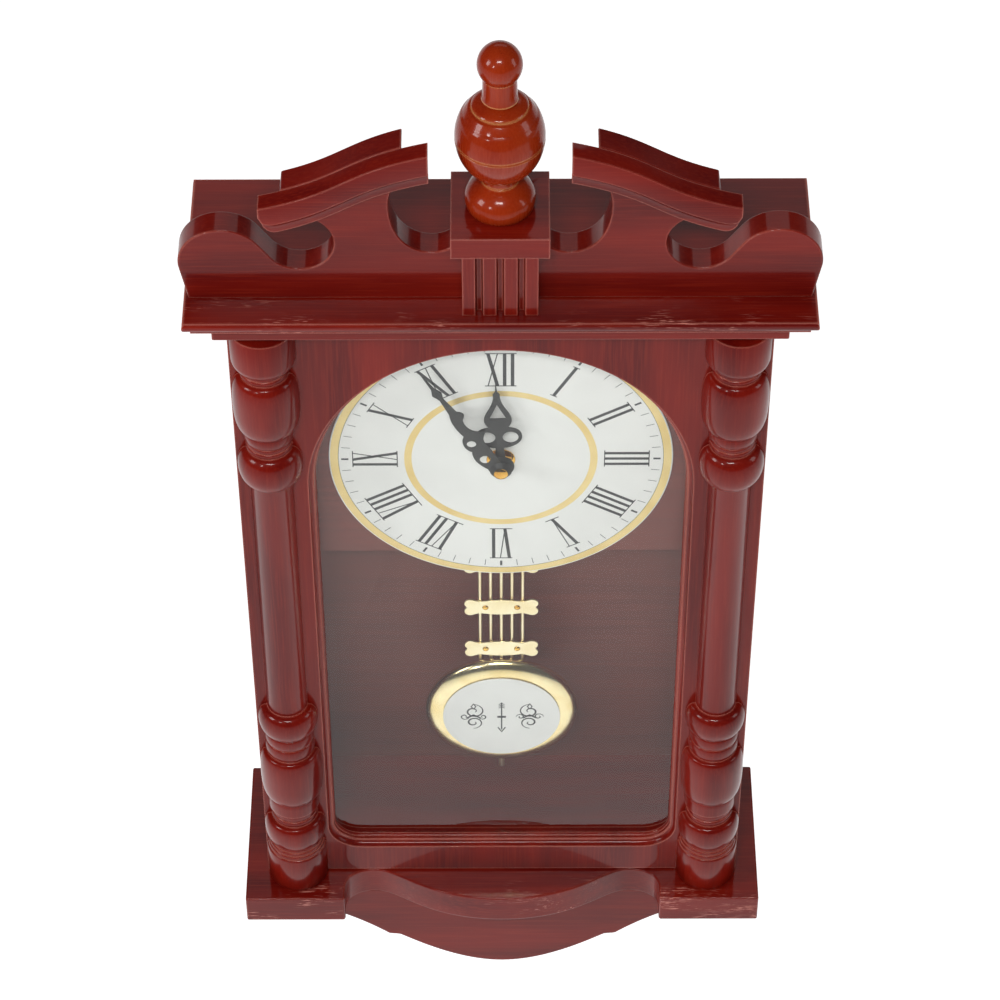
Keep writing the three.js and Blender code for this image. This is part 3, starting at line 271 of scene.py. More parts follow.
@dataclass(frozen=True)
class LacqueredMahogany(Finish):
    """Red-stained hardwood, sprayed with a clear lacquer and rubbed to a satin gloss.

    The stain is a deep red that the clear coat keeps saturated; fine fibres and short open pores
    run along the grain, broad figure drifts across it, and the arrises are painted paler: partly
    rubbed wear, partly a painted highlight.
    """

    grain: Axis = Axis.Z
    deep: str = "#560806"
    body: str = "#741309"
    warm: str = "#8a2614"
    # Pale arris colour: partly rubbed wear, partly a painted highlight.
    rubbed_wear_and_highlight: str = "#d08070"
    grain_depth: float = 0.38  # contrast of the fibre and the pores
    satin: float = 0.34
    coat: float = 0.09
    worn_front: float = 0.0  # depth of a worn band behind the front edge, in millimetres
    worn_from: float = 0.0  # y of that front edge, in metres

    def spans(self, along: float, across: float) -> list[float]:
        """Gives a pattern's size on each axis.

        Args:
            along: Size along the grain in millimetres.
            across: Size across the grain in millimetres.

        Returns:
            The sizes on X, Y and Z.
        """
        return [along if axis is self.grain else across for axis in Axis]

    def shade(self, tree: bpy.types.NodeTree) -> bpy.types.NodeSocket:
        """Builds stain, fibre, pores, arrises with wear and painted highlight, and the clear coat.

        Args:
            tree: The material's empty node tree.

        Returns:
            The surface's socket.
        """
        figure = noise(tree, stretched(tree, self.spans(210, 26)), 1.0, 2.0)
        fibre = noise(tree, stretched(tree, self.spans(38, 1.1)), 1.0, 4.0)
        # Real pores are about 0.2 mm wide; they are drawn 0.5 mm wide so that they show.
        pores = noise(tree, stretched(tree, self.spans(7, 0.5)), 1.0, 1.0)
        colour = blend(tree, ramp(tree, figure, 0.3, 0.72), linear(self.deep), linear(self.body))
        fibre_mask = ramp(tree, fibre, 0.42, 0.75)
        share = add(tree, "Math", {"operation": "MULTIPLY", 1: self.grain_depth}, {0: fibre_mask})
        lifted = blend(tree, share.outputs[0], colour, linear(self.warm))
        pore_mask = ramp(tree, pores, 0.60, 0.72)
        pore_share = 0.4 * self.grain_depth
        scaled = {"operation": "MULTIPLY", 1: pore_share}
        darker = add(tree, "Math", scaled, {0: pore_mask}).outputs[0]
        grained = blend(tree, darker, lifted, linear(self.deep))
        # Arrises are made paler where the bevel normal turns from the face: partly rubbed wear,
        # partly a painted highlight.
        rounded = add(tree, "Bevel", {"Radius": 1.5 * MM}).outputs["Normal"]
        facing = add(tree, "NewGeometry").outputs["Normal"]
        turn = add(tree, "VectorMath", {"operation": "DOT_PRODUCT"}, {0: rounded, 1: facing})
        arris_wear_and_highlight = ramp(tree, turn.outputs["Value"], 0.99, 0.86)
        arris_wear_and_highlight_share = add(tree, "Math", {"operation": "MULTIPLY", 1: 0.55}, {0: arris_wear_and_highlight}).outputs[0]
        stained = blend(tree, arris_wear_and_highlight_share, grained, linear(self.rubbed_wear_and_highlight))
        if self.worn_front:
            stained = self.wear(tree, stained)
        rough = add(
            tree,
            "MapRange",
            {"To Min": self.satin - 0.05, "To Max": self.satin + 0.08},
            {"Value": fibre},
        ).outputs["Result"]
        relief = bump(tree, pore_mask, -0.035, 0.5)
        settings = {
            "IOR": 1.5,
            "Coat Weight": 0.45,
            "Coat Roughness": self.coat,
            "Coat IOR": 1.42,
            "Specular IOR Level": 0.06,
        }
        links = {"Base Color": stained, "Roughness": rough, "Normal": relief}
        return add(tree, "BsdfPrincipled", settings, links).outputs[0]

    def wear(
        self, tree: bpy.types.NodeTree, stained: bpy.types.NodeSocket
    ) -> bpy.types.NodeSocket:
        """Adds pale broken streaks where the stain missed the open grain near a front edge.

        Args:
            tree: The material's node tree.
            stained: Colour under the streaks.

        Returns:
            The colour with its streaks.
        """
        place = add(tree, "TexCoord").outputs["Object"]
        depth = add(tree, "SeparateXYZ", None, {"Vector": place}).outputs["Y"]
        band = ramp(tree, depth, self.worn_from + self.worn_front * MM, self.worn_from)
        streak = ramp(tree, noise(tree, stretched(tree, self.spans(9, 0.7)), 1.0, 3.0), 0.56, 0.66)
        patch = ramp(tree, noise(tree, stretched(tree, self.spans(46, 16)), 1.0, 2.0), 0.48, 0.66)
        shown = streak
        for mask in (band, patch):
            shown = add(tree, "Math", {"operation": "MULTIPLY"}, {0: shown, 1: mask}).outputs[0]
        share = add(tree, "Math", {"operation": "MULTIPLY", 1: 0.85}, {0: shown}).outputs[0]
        return blend(tree, share, stained, linear("#d98f80"))


@dataclass(frozen=True)
class MottledBoard(Finish):
    """Unpolished board: pine that was planed, or hardboard that was pressed and stained.

    It looks dull beside the lacquer, with a fibre that runs one way on pine and every way on
    hardboard.
    """

    light: str = "#6a2a20"
    dark: str = "#4a1712"
    span: tuple[float, float, float] = (3.0, 3.0, 3.0)
    rough: float = 0.62
    relief: float = 0.05

    def shade(self, tree: bpy.types.NodeTree) -> bpy.types.NodeSocket:
        """Builds a two-tone fibre with its relief.

        Args:
            tree: The material's empty node tree.

        Returns:
            The surface's socket.
        """
        fibre = noise(tree, stretched(tree, self.span), 1.0, 5.0)
        broad = noise(tree, stretched(tree, [s * 14 for s in self.span]), 1.0, 2.0)
        base = blend(tree, ramp(tree, fibre, 0.35, 0.68), linear(self.dark), linear(self.light))
        colour = blend(tree, 0.35, base, linear(self.light))
        toned = blend(tree, ramp(tree, broad, 0.35, 0.7), base, colour)
        settings = {"Roughness": self.rough, "IOR": 1.48}
        links = {"Base Color": toned, "Normal": bump(tree, fibre, self.relief, 0.6)}
        return add(tree, "BsdfPrincipled", settings, links).outputs[0]


class Worked(Enum):
    """How a metal's surface was made, as the size of its marks on each axis in millimetres."""

    POLISHED = (4.0, 4.0, 4.0)
    BRUSHED_ACROSS = (18.0, 0.25, 0.25)
    SPUN = (1.2, 1.2, 1.2)
    STAMPED = (2.5, 2.5, 2.5)


@dataclass(frozen=True)
class Metal(Finish):
    """Bare or plated metal under thin lacquer.

    Its colour drifts slightly with the film on it, and fine marks from the tool vary the gloss.
    """

    light: str = "#f3dfa8"
    dark: str = "#d9b97a"
    rough: float = 0.22
    worked: Worked = Worked.POLISHED
    metallic: float = 1.0

    def shade(self, tree: bpy.types.NodeTree) -> bpy.types.NodeSocket:
        """Builds the film's drift and the tool marks.

        Args:
            tree: The material's empty node tree.

        Returns:
            The surface's socket.
        """
        marks = noise(tree, stretched(tree, self.worked.value), 1.0, 4.0)
        film = noise(tree, stretched(tree, (22, 22, 22)), 1.0, 2.0)
        colour = blend(tree, ramp(tree, film, 0.3, 0.7), linear(self.light), linear(self.dark))
        span = {"To Min": self.rough * 0.75, "To Max": self.rough * 1.35}
        rough = add(tree, "MapRange", span, {"Value": marks}).outputs["Result"]
        relief = bump(tree, marks, 0.012, 0.35)
        links = {"Base Color": colour, "Roughness": rough, "Normal": relief}
        return add(tree, "BsdfPrincipled", {"Metallic": self.metallic}, links).outputs[0]


@dataclass(frozen=True)
class Moulded(Finish):
    """Moulded plastic, enamel or printing ink: an even colour with a fine skin texture."""

    light: str = "#232325"
    dark: str = "#1b1b1d"
    rough: float = 0.45
    grit: float = 0.6  # size of the skin texture in millimetres
    relief: float = 0.015
    coat: float = 0.0

    def shade(self, tree: bpy.types.NodeTree) -> bpy.types.NodeSocket:
        """Builds the skin texture and a slight drift of tone.

        Args:
            tree: The material's empty node tree.

        Returns:
            The surface's socket.
        """
        grit = noise(tree, stretched(tree, (self.grit,) * 3), 1.0, 2.0)
        drift = noise(tree, stretched(tree, (30, 30, 30)), 1.0, 2.0)
        colour = blend(tree, ramp(tree, drift, 0.3, 0.7), linear(self.light), linear(self.dark))
        span = {"To Min": self.rough - 0.04, "To Max": self.rough + 0.05}
        rough = add(tree, "MapRange", span, {"Value": grit}).outputs["Result"]
        settings = {"IOR": 1.5, "Coat Weight": self.coat, "Coat Roughness": 0.08}
        relief = bump(tree, grit, self.relief, 0.5)
        links = {"Base Color": colour, "Roughness": rough, "Normal": relief}
        return add(tree, "BsdfPrincipled", settings, links).outputs[0]


@dataclass(frozen=True)
class FloatGlass(Finish):
    """Clear float glass: it passes light with a faint grey tint and reflects by its angle."""

    tint: str = "#fafbfa"

    def shade(self, tree: bpy.types.NodeTree) -> bpy.types.NodeSocket:
        """Mixes clear passage with a mirror reflection by Fresnel, with light smears.

        Args:
            tree: The material's empty node tree.

        Returns:
            The surface's socket.
        """
        smear = noise(tree, stretched(tree, (60, 60, 90)), 1.0, 3.0)
        rough = add(
            tree, "MapRange", {"To Min": 0.01, "To Max": 0.035}, {"Value": smear}
        ).outputs["Result"]
        passed = add(tree, "BsdfTransparent", {"Color": linear(self.tint)}).outputs[0]
        mirror = add(tree, "BsdfGlossy", {"Color": linear("#ffffff")}, {"Roughness": rough})
        angle = add(tree, "Fresnel", {"IOR": 1.45}).outputs[0]
        inside = add(tree, "NewGeometry").outputs["Backfacing"]
        outside = add(tree, "Math", {"operation": "SUBTRACT", 0: 1.0}, {1: inside}).outputs[0]
        share = add(tree, "Math", {"operation": "MULTIPLY"}, {0: angle, 1: outside}).outputs[0]
        mixed = add(tree, "MixShader", None, {0: share, 1: passed, 2: mirror.outputs[0]})
        return mixed.outputs[0]


@dataclass(frozen=True)
class PaperSweep(Finish):
    """Matt white background paper with a barely visible tooth."""

    glow: float = 0.78

    def shade(self, tree: bpy.types.NodeTree) -> bpy.types.NodeSocket:
        """Builds the paper's tooth and the light that comes through it from behind.

        Args:
            tree: The material's empty node tree.

        Returns:
            The surface's socket.
        """
        tooth = noise(tree, stretched(tree, (2, 2, 2)), 1.0, 2.0)
        colour = blend(tree, ramp(tree, tooth, 0.3, 0.7), linear("#f6f6f6"), linear("#f9f9f9"))
        settings = {"Roughness": 0.9, "Emission Strength": self.glow}
        settings["Emission Color"] = linear("#ffffff")
        return add(tree, "BsdfPrincipled", settings, {"Base Color": colour}).outputs[0]


WOOD_UP = LacqueredMahogany("mahogany_lacquered_upright")
WOOD_ACROSS = LacqueredMahogany("mahogany_lacquered_across", grain=Axis.X)
WOOD_TOP = LacqueredMahogany(
    "mahogany_lacquered_worn", grain=Axis.X, worn_front=26.0, worn_from=-0.112
)
WOOD_TURNED = LacqueredMahogany("mahogany_turned_polished", satin=0.3, coat=0.1, grain_depth=0.3)
WOOD_FINIAL = LacqueredMahogany(
    "beech_turned_amber_lacquer",
    deep="#7c1c06",
    body="#8e2a0c",
    warm="#a03a14",
    # The pale gold arris colour is a painted highlight along the finial's edges and grooves.
    rubbed_wear_and_highlight="#e8b070",
    satin=0.26,
    coat=0.1,
    grain_depth=0.2,
)
PINE = MottledBoard("pine_planed", "#b98a5c", "#936437", (60.0, 2.0, 2.0), 0.6, 0.06)
HARDBOARD = MottledBoard(
    "hardboard_pressed_stained", "#7a3226", "#6c291f", (60.0, 2.2, 2.2), 0.5, 0.004
)
ZINC = Metal("steel_zinc_plated", "#c9ccd2", "#a9adb4", 0.34, Worked.STAMPED)
BRASS = Metal("brass_polished_lacquered", "#f0c264", "#d49a3c", 0.16)
PALE_GOLD = Metal("steel_pale_gold_plated", "#fbeecb", "#efdcae", 0.30, Worked.STAMPED)
BOB_BRASS = Metal("brass_spun_satin", "#f7e6b8", "#ecd396", 0.20, Worked.SPUN)
GOLD_FOIL = Metal("gold_foil_printed", "#f2d99a", "#e8cb86", 0.42, Worked.STAMPED, 0.55)
COPPER = Metal("copper_wire_enamelled", "#c46a3a", "#a8522a", 0.32, Worked.BRUSHED_ACROSS)
BLACK_PLASTIC = Moulded("abs_black_spark_texture")
GEAR_PLASTIC = Moulded("acetal_white_moulded", "#e9e9e4", "#dededa", 0.35, 1.0, 0.01)
SOLDER_MASK = Moulded("circuit_board_solder_mask", "#1f6a3c", "#195a32", 0.3, 0.8, 0.02, 0.4)
CELL_JACKET = Moulded("battery_sleeve_printed", "#2c3a52", "#24304a", 0.28, 2.0, 0.01, 0.6)
DIAL_WHITE = Moulded("aluminium_white_enamel", "#f6f5f3", "#f1f0ee", 0.32, 0.5, 0.006, 0.3)
HAND_BLACK = Moulded("steel_black_enamel", "#19191a", "#141415", 0.45, 0.5, 0.008, 0.1)
DIAL_INK = Moulded("printing_ink_charcoal", "#3c3c3f", "#343437", 0.55, 0.4, 0.004)
GLASS = FloatGlass("float_glass_clear")


# ------------------------------------------------------------------------------ mesh building


def arc(cx: float, cz: float, radius: float, start: float, stop: float, steps: int) -> list[Point]:
    """Gives points on a circle.

    Args:
        cx: Centre's first coordinate.
        cz: Centre's second coordinate.
        radius: Circle's radius.
        start: First angle in radians.
        stop: Last angle in radians.
        steps: Number of steps between them.

    Returns:
        steps + 1 points.
    """
    turns = [start + (stop - start) * i / steps for i in range(steps + 1)]
    return [(cx + radius * math.cos(a), cz + radius * math.sin(a)) for a in turns]


def cubic(p0: Point, p1: Point, p2: Point, p3: Point, steps: int) -> list[Point]:
    """Gives points on a cubic Bezier curve, without its first point.

    Args:
        p0: Start.
        p1: First handle.
        p2: Second handle.
        p3: End.
        steps: Number of steps.

    Returns:
        steps points that end at p3.
    """
    points = []
    for i in range(1, steps + 1):
        t = i / steps
        weights = ((1 - t) ** 3, 3 * t * (1 - t) ** 2, 3 * t * t * (1 - t), t**3)
        pairs = list(zip(weights, (p0, p1, p2, p3)))
        points.append((sum(w * p[0] for w, p in pairs), sum(w * p[1] for w, p in pairs)))
    return points


def mirrored(half: Sequence[Point]) -> list[Point]:
    """Closes an outline from its right half, which starts and ends on the centre line.

    Args:
        half: Points of the right half.

    Returns:
        The whole outline.
    """
    return list(half) + [(-x, z) for x, z in reversed(half[1:-1])]


def shaded(mesh: bpy.types.Mesh, sharp: float = 34.0) -> bpy.types.Mesh:
    """Welds a mesh, points its faces out and smooths it up to an angle.

    Args:
        mesh: Mesh to finish.
        sharp: Edges over this many degrees stay sharp.

    Returns:
        The same mesh.
    """
    bm = bmesh.new()
    bm.from_mesh(mesh)
    bmesh.ops.remove_doubles(bm, verts=bm.verts, dist=2e-7)
    bmesh.ops.dissolve_degenerate(bm, edges=bm.edges, dist=2e-7)
    bmesh.ops.recalc_face_normals(bm, faces=bm.faces)
    bm.to_mesh(mesh)
    bm.free()
    mesh.polygons.foreach_set("use_smooth", [True] * len(mesh.polygons))
    mesh.set_sharp_from_angle(angle=math.radians(sharp))
    return mesh


def from_faces(
    name: str, points: Iterable[Vector], faces: Sequence[Sequence[int]]
) -> bpy.types.Mesh:
    """Makes a welded mesh from points and faces.

    Args:
        name: Mesh name.
        points: Vertices in metres.
        faces: Vertex numbers of each face.

    Returns:
        The mesh.
    """
    mesh = bpy.data.meshes.new(name)
    mesh.from_pydata([tuple(p) for p in points], [], [tuple(f) for f in faces])
    return shaded(mesh)


def skin(name: str, rings: Sequence[Ring], looped: bool = False) -> bpy.types.Mesh:
    """Skins rings of points, with a cap at each end unless the rings close on themselves.

    Args:
        name: Mesh name.
        rings: Rings with the same number of points.
        looped: Whether the last ring joins the first.

    Returns:
        The mesh.
    """
    count = len(rings[0])
    points = [p for ring in rings for p in ring]
    faces: list[list[int]] = []
    for r in range(len(rings) if looped else len(rings) - 1):
        here = r * count
        there = ((r + 1) % len(rings)) * count
        for i in range(count):
            j = (i + 1) % count
            faces.append([here + i, here + j, there + j, there + i])
    if not looped:
        faces.append(list(range(count)))
        faces.append(list(range((len(rings) - 1) * count, len(rings) * count)))
    return from_faces(name, points, faces)


def plate(
    name: str,
    outline: Sequence[Point],
    front: float,
    back: float,
    holes: Sequence[Sequence[Point]] = (),
) -> bpy.types.Mesh:
    """Makes a flat plate from an outline in the X-Z plane.

    Args:
        name: Mesh name.
        outline: Outer outline.
        front: y of the front face.
        back: y of the back face.
        holes: Outlines of its holes.

    Returns:
        The mesh.
    """
    loops = [list(outline), *[list(h) for h in holes]]
    flat = [p for loop in loops for p in loop]
    count = len(flat)
    points = [Vector((x, y, z)) for y in (front, back) for x, z in flat]
    if holes:
        lids = tessellate_polygon([[Vector((x, z, 0)) for x, z in loop] for loop in loops])
    else:
        lids = [list(range(count))]
    faces = [list(f) for f in lids] + [[i + count for i in f] for f in lids]
    start = 0
    for loop in loops:
        size = len(loop)
        for i in range(size):
            a, b = start + i, start + (i + 1) % size
            faces.append([a, b, b + count, a + count])
        start += size
    return from_faces(name, points, faces)


def turning(
    name: str, profile: Sequence[Point], axis: Axis, centre: Vector, segments: int = ROUND
) -> bpy.types.Mesh:
    """Turns a profile about an axis.

    Args:
        name: Mesh name.
        profile: Radius and place along the axis, from end to end.
        axis: Axis of the lathe.
        centre: Point on the axis that the places are measured from.
        segments: Steps round the axis.

    Returns:
        The mesh.
    """
    order = {Axis.X: (1, 2, 0), Axis.Y: (0, 2, 1), Axis.Z: (0, 1, 2)}[axis]
    rings = []
    for radius, along in profile:
        ring = []
        for u, v in arc(0, 0, radius, 0, math.tau * (segments - 1) / segments, segments - 1):
            spot = [0.0, 0.0, 0.0]
            for slot_index, value in zip(order, (u, v, along)):
                spot[slot_index] = value
            ring.append(centre + Vector(spot))
        rings.append(ring)
    closed = profile[0] == profile[-1]
    return skin(name, rings[:-1] if closed else rings, looped=closed)


def evaluated(obj: bpy.types.Object) -> bpy.types.Mesh:
    """Applies an object's modifiers and removes the object.

    Args:
        obj: Object to apply.

    Returns:
        A new mesh with its modifiers applied.
    """
    graph = bpy.context.evaluated_depsgraph_get()
    graph.update()
    mesh = bpy.data.meshes.new_from_object(obj.evaluated_get(graph), depsgraph=graph)
    bpy.data.objects.remove(obj)
    return mesh


def scratch(mesh: bpy.types.Mesh) -> bpy.types.Object:
    """Links a short-lived object that holds a mesh.

    Args:
        mesh: Mesh to hold.

    Returns:
        The object.
    """
    obj = bpy.data.objects.new(mesh.name, mesh)
    bpy.context.scene.collection.objects.link(obj)
    return obj


def carve(mesh: bpy.types.Mesh, tools: Sequence[bpy.types.Mesh]) -> bpy.types.Mesh:
    """Cuts tool shapes out of a mesh.

    Args:
        mesh: Mesh to cut.
        tools: Closed meshes that are removed from it.

    Returns:
        The cut mesh.
    """
    body = scratch(mesh)
    cutters = [scratch(tool) for tool in tools]
    for cutter in cutters:
        modifier = body.modifiers.new("cut", "BOOLEAN")
        modifier.operation = "DIFFERENCE"
        modifier.solver = "EXACT"
        modifier.object = cutter
    result = evaluated(body)
    for cutter in cutters:
        bpy.data.objects.remove(cutter)
    return shaded(result)


def slab(name: str, low: Sequence[float], high: Sequence[float]) -> bpy.types.Mesh:
    """Makes a block between two corners.

    Args:
        name: Mesh name.
        low: Lowest corner.
        high: Highest corner.

    Returns:
        The mesh.
    """
    outline = [(low[0], low[2]), (high[0], low[2]), (high[0], high[2]), (low[0], high[2])]
    return plate(name, outline, low[1], high[1])


def merged(name: str, meshes: Sequence[bpy.types.Mesh]) -> bpy.types.Mesh:
    """Puts several meshes into one.

    Args:
        name: Name of the new mesh.
        meshes: Meshes to gather.

    Returns:
        The gathered mesh.
    """
    bm = bmesh.new()
    for mesh in meshes:
        bm.from_mesh(mesh)
    whole = bpy.data.meshes.new(name)
    bm.to_mesh(whole)
    bm.free()
    whole.polygons.foreach_set("use_smooth", [True] * len(whole.polygons))
    whole.set_sharp_from_angle(angle=math.radians(34))
    return whole


def cad_mesh(node: str) -> bpy.types.Mesh:
    """Copies a CAD node's mesh with its flat faces made whole.

    Args:
        node: Name of the CAD node.

    Returns:
        The copy.
    """
    bm = bmesh.new()
    bm.from_mesh(frame["nodes"][node].data)
    bmesh.ops.remove_doubles(bm, verts=bm.verts, dist=1e-6)
    bmesh.ops.dissolve_limit(
        bm, angle_limit=math.radians(0.6), verts=bm.verts, edges=bm.edges
    )
    mesh = bpy.data.meshes.new(node + "_fine")
    bm.to_mesh(mesh)
    bm.free()
    mesh.materials.clear()
    return shaded(mesh)


def soften(obj: bpy.types.Object, arris: float, segments: int = 3) -> None:
    """Rounds an object's sharp edges over a small radius.

    Args:
        obj: Object to soften.
        arris: Width of the rounding in metres.
        segments: Steps across the rounding.
    """
    bevel = obj.modifiers.new("arris", "BEVEL")
    bevel.width = arris
    bevel.segments = segments
    bevel.limit_method = "ANGLE"
    bevel.angle_limit = math.radians(38)
    bevel.harden_normals = True
    bevel.use_clamp_overlap = True
    bevel.miter_outer = "MITER_ARC"


BODY_OF = {name: obj["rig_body"] for name, obj in frame["nodes"].items()}


def dress(
    name: str,
    mesh: bpy.types.Mesh,
    finish: Finish,
    node: str,
    arris: float = 0.0,
    stands_in: bool = True,
) -> bpy.types.Object:
    """Makes a piece from a mesh, rides it on its body and gives it its finish.

    Args:
        name: Name of the piece.
        mesh: Its mesh.
        finish: Its finish.
        node: CAD node that it stands for or is fixed to.
        arris: Rounding of its sharp edges in metres, or none.
        stands_in: Whether it replaces that node.

    Returns:
        The piece.
    """
    mesh.materials.clear()
    mesh.materials.append(finish.build())
    piece = bpy.data.objects.new(name, mesh)
    bpy.context.scene.collection.objects.link(piece)
    if arris:
        soften(piece, arris)
    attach(piece, BODY_OF[node])
    if stands_in:
        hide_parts(node)
    LOG.info("%s rides on %s in %s", name, BODY_OF[node], finish.label)
    return piece


def refine(node: str, finish: Finish, arris: float) -> bpy.types.Object:
    """Replaces a CAD node by the same shape with rounded arrises.

    Args:
        node: Name of the CAD node.
        finish: Finish of the piece.
        arris: Rounding of its sharp edges in metres.

    Returns:
        The piece.
    """
    return dress(node + "_fine", cad_mesh(node), finish, node, arris)


def swelling(z0: float, z1: float, low: float, high: float, power: float, steps: int) -> list[Point]:
    """Gives the profile of one turned swelling.

    Args:
        z0: Where it starts.
        z1: Where it ends.
        low: Radius at its ends.
        high: Radius at its middle.
        power: A larger power gives a fuller barrel.
        steps: Number of steps.

    Returns:
        Radius and place pairs.
    """
    points = []
    for i in range(steps + 1):
        t = (1 - math.cos(math.pi * i / steps)) / 2
        full = max(0.0, 1 - abs(2 * t - 1) ** power) ** (1 / power)
        points.append((low + (high - low) * full, z0 + (z1 - z0) * t))
    return points


def in_metres(profile: Iterable[Point]) -> list[Point]:
    """Turns a profile in millimetres into metres.

    Args:
        profile: Pairs in millimetres.

    Returns:
        The pairs in metres.
    """
    return [(r * MM, z * MM) for r, z in profile]


def rounded_end(radius: float, place: float, corner: float, outward: float) -> list[Point]:
    """Gives the profile of a turned end with a rounded corner, from the axis to the side.

    Args:
        radius: Radius of the side.
        place: Place of the end face along the axis.
        corner: Radius of the corner.
        outward: +1 where the end faces up the axis, -1 where it faces down.

    Returns:
        Radius and place pairs.
    """
    turn = [math.pi / 2 * i / 4 for i in range(5)]
    inner = radius - corner
    along = place - outward * corner
    return [(0.0, place)] + [
        (inner + corner * math.sin(a), along + outward * corner * math.cos(a)) for a in turn
    ]


# ------------------------------------------------------------------------------ case


@dataclass
class Case:
    """The wooden box: sides, floor, rail, back, the boards over it and the plinth under it."""

    arris: float = 0.9 * MM
    bay: float = 97.4 * MM  # half the width between the plinth's front blocks
    waist: float = 79.0 * MM  # the plinth is narrowest this far from the centre
    waist_depth: float = 81.8 * MM
    nose_share: float = 0.62  # share of the cornice's edge that is the rounded nose
    nose_sweep: float = 0.36

    def cornice_profile(self, thick: float) -> list[Point]:
        """Gives the cornice's moulded edge.

        Args:
            thick: Thickness of the board.

        Returns:
            Inset and height-below-top pairs from the top edge down.
        """
        nose = thick * self.nose_share
        cove = thick - nose
        points = [(1.0 * MM, 0.0), (0.45 * MM, 0.08 * MM)]
        for i in range(2, 15):
            a = math.pi / 2 - math.pi * i / 14
            reach = nose * self.nose_sweep * (1 - math.cos(a))
            points.append((reach, nose / 2 * (1 - math.sin(a))))
        inner = nose * self.nose_sweep
        for i in range(1, 9):
            a = math.pi / 2 * i / 8
            points.append((inner + cove * 0.5 * math.sin(a), nose + cove * 0.6 * (1 - math.cos(a))))
        points.append((inner + cove * 0.5, thick))
        return points

    def build_cornice(self) -> None:
        """Builds the moulded top board; its front and two ends carry the moulding."""
        low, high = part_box("cornice_top")
        rings = []
        for inset, drop in self.cornice_profile(high.z - low.z):
            z = high.z - drop
            x = high.x - inset
            y = low.y + inset
            corners = ((-x, y, z), (x, y, z), (x, 0, z), (-x, 0, z))
            rings.append([Vector(corner) for corner in corners])
        dress("cornice_top_moulded", skin("cornice_top_moulded", rings), WOOD_TOP, "cornice_top")
        refine("cornice_sub_board", WOOD_ACROSS, self.arris)

    def build_box(self) -> None:
        """Builds the sides, floor, rail and back panel with eased arrises."""
        for side in ("left", "right"):
            refine(f"case_side_{side}", WOOD_UP, self.arris)
        refine("case_floor", WOOD_ACROSS, 0.5 * MM)
        refine("hanging_rail", PINE, 0.5 * MM)
        refine("back_panel", HARDBOARD, 0.3 * MM)

    def plinth_edge(self, low: Vector) -> list[Point]:
        """Gives the right half of the plinth's front edge, seen from above.

        Args:
            low: Lowest corner of the plinth's box.

        Returns:
            Points from the centre round the serpentine bay to the block's outer corner.
        """
        bay, waist, depth = self.bay, self.waist, low.y
        narrow = -self.waist_depth
        turn = narrow + (depth - narrow) * 0.6
        steps = 36
        points = [(0.0, depth)]
        leave, arrive = (waist * 0.61, depth), (waist * 0.8, narrow)
        points += cubic(points[-1], leave, arrive, (waist, narrow), steps)
        points += cubic(
            points[-1], (waist + 9.5 * MM, narrow), (bay, narrow - 4.7 * MM), (bay, turn), steps
        )
        corner = 1.6 * MM
        points += arc(bay + corner, depth + corner, corner, math.pi, math.pi * 1.5, 6)
        return points

    def build_plinth(self) -> None:
        """Builds the plinth board, whose front edge is serpentine between two square blocks."""
        low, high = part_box("plinth")
        right = self.plinth_edge(low)
        outline = [(high.x, low.y), (high.x, high.y), (low.x, high.y), (low.x, low.y)]
        outline += [(-x, y) for x, y in reversed(right[1:])] + right
        rings = [[Vector((x, y, z)) for x, y in outline] for z in (low.z, high.z)]
        dress("plinth_sawn", skin("plinth_sawn", rings), WOOD_TOP_PLINTH, "plinth", 1.2 * MM)

    def apron_half(self, low: Vector, high: Vector) -> list[Point]:
        """Gives the right half of the apron's outline.

        Args:
            low: Lowest corner of the apron's box.
            high: Highest corner of the apron's box.

        Returns:
            Points from the centre of the lower edge to the end of the upper edge.
        """
        end, top = high.x, high.z
        fall = high.z - low.z

        def at(across: float, down: float) -> Point:
            return (end * across, top - fall * down)

        points = [at(0, 1)]
        for first, second, last in (
            (at(0.206, 1), at(0.405, 0.757), at(0.512, 0.627)),
            (at(0.528, 0.614), at(0.556, 0.622), at(0.574, 0.606)),
            (at(0.635, 0.511), at(0.762, 0.339), at(0.889, 0.252)),
            (at(0.937, 0.226), at(1, 0.186), at(1, 0.106)),
        ):
            points += cubic(points[-1], first, second, last, 24)
        return points + [(end, top)]

    def build_apron(self) -> None:
        """Builds the sawn apron under the plinth."""
        low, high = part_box("apron")
        right = self.apron_half(low, high)
        outline = right + [(-x, z) for x, z in reversed(right[1:])]
        mesh = plate("apron_sawn", outline, low.y, high.y)
        dress("apron_sawn", mesh, WOOD_ACROSS, "apron", 1.0 * MM)

    def build_hanger(self) -> None:
        """Builds the keyhole plate and its two screws."""
        refine("hanger_plate", ZINC, 0.2 * MM)
        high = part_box("hanger_plate")[1]
        sunk = high.y - 0.9 * MM
        spots = [Vector((s * (high.x - 3 * MM), sunk, high.z - 3.2 * MM)) for s in (-1, 1)]
        heads = [screw_head(spot, 1, 1.9 * MM) for spot in spots]
        mesh = merged("hanger_screws", heads)
        dress("hanger_screws", mesh, ZINC, "hanger_plate", 0.0, stands_in=False)

    def build(self) -> None:
        """Builds every piece of the case."""
        self.build_cornice()
        self.build_box()
        self.build_plinth()
        self.build_apron()
        self.build_hanger()


WOOD_TOP_PLINTH = LacqueredMahogany(
    "mahogany_lacquered_plinth", grain=Axis.X, worn_front=22.0, worn_from=-0.1045
)


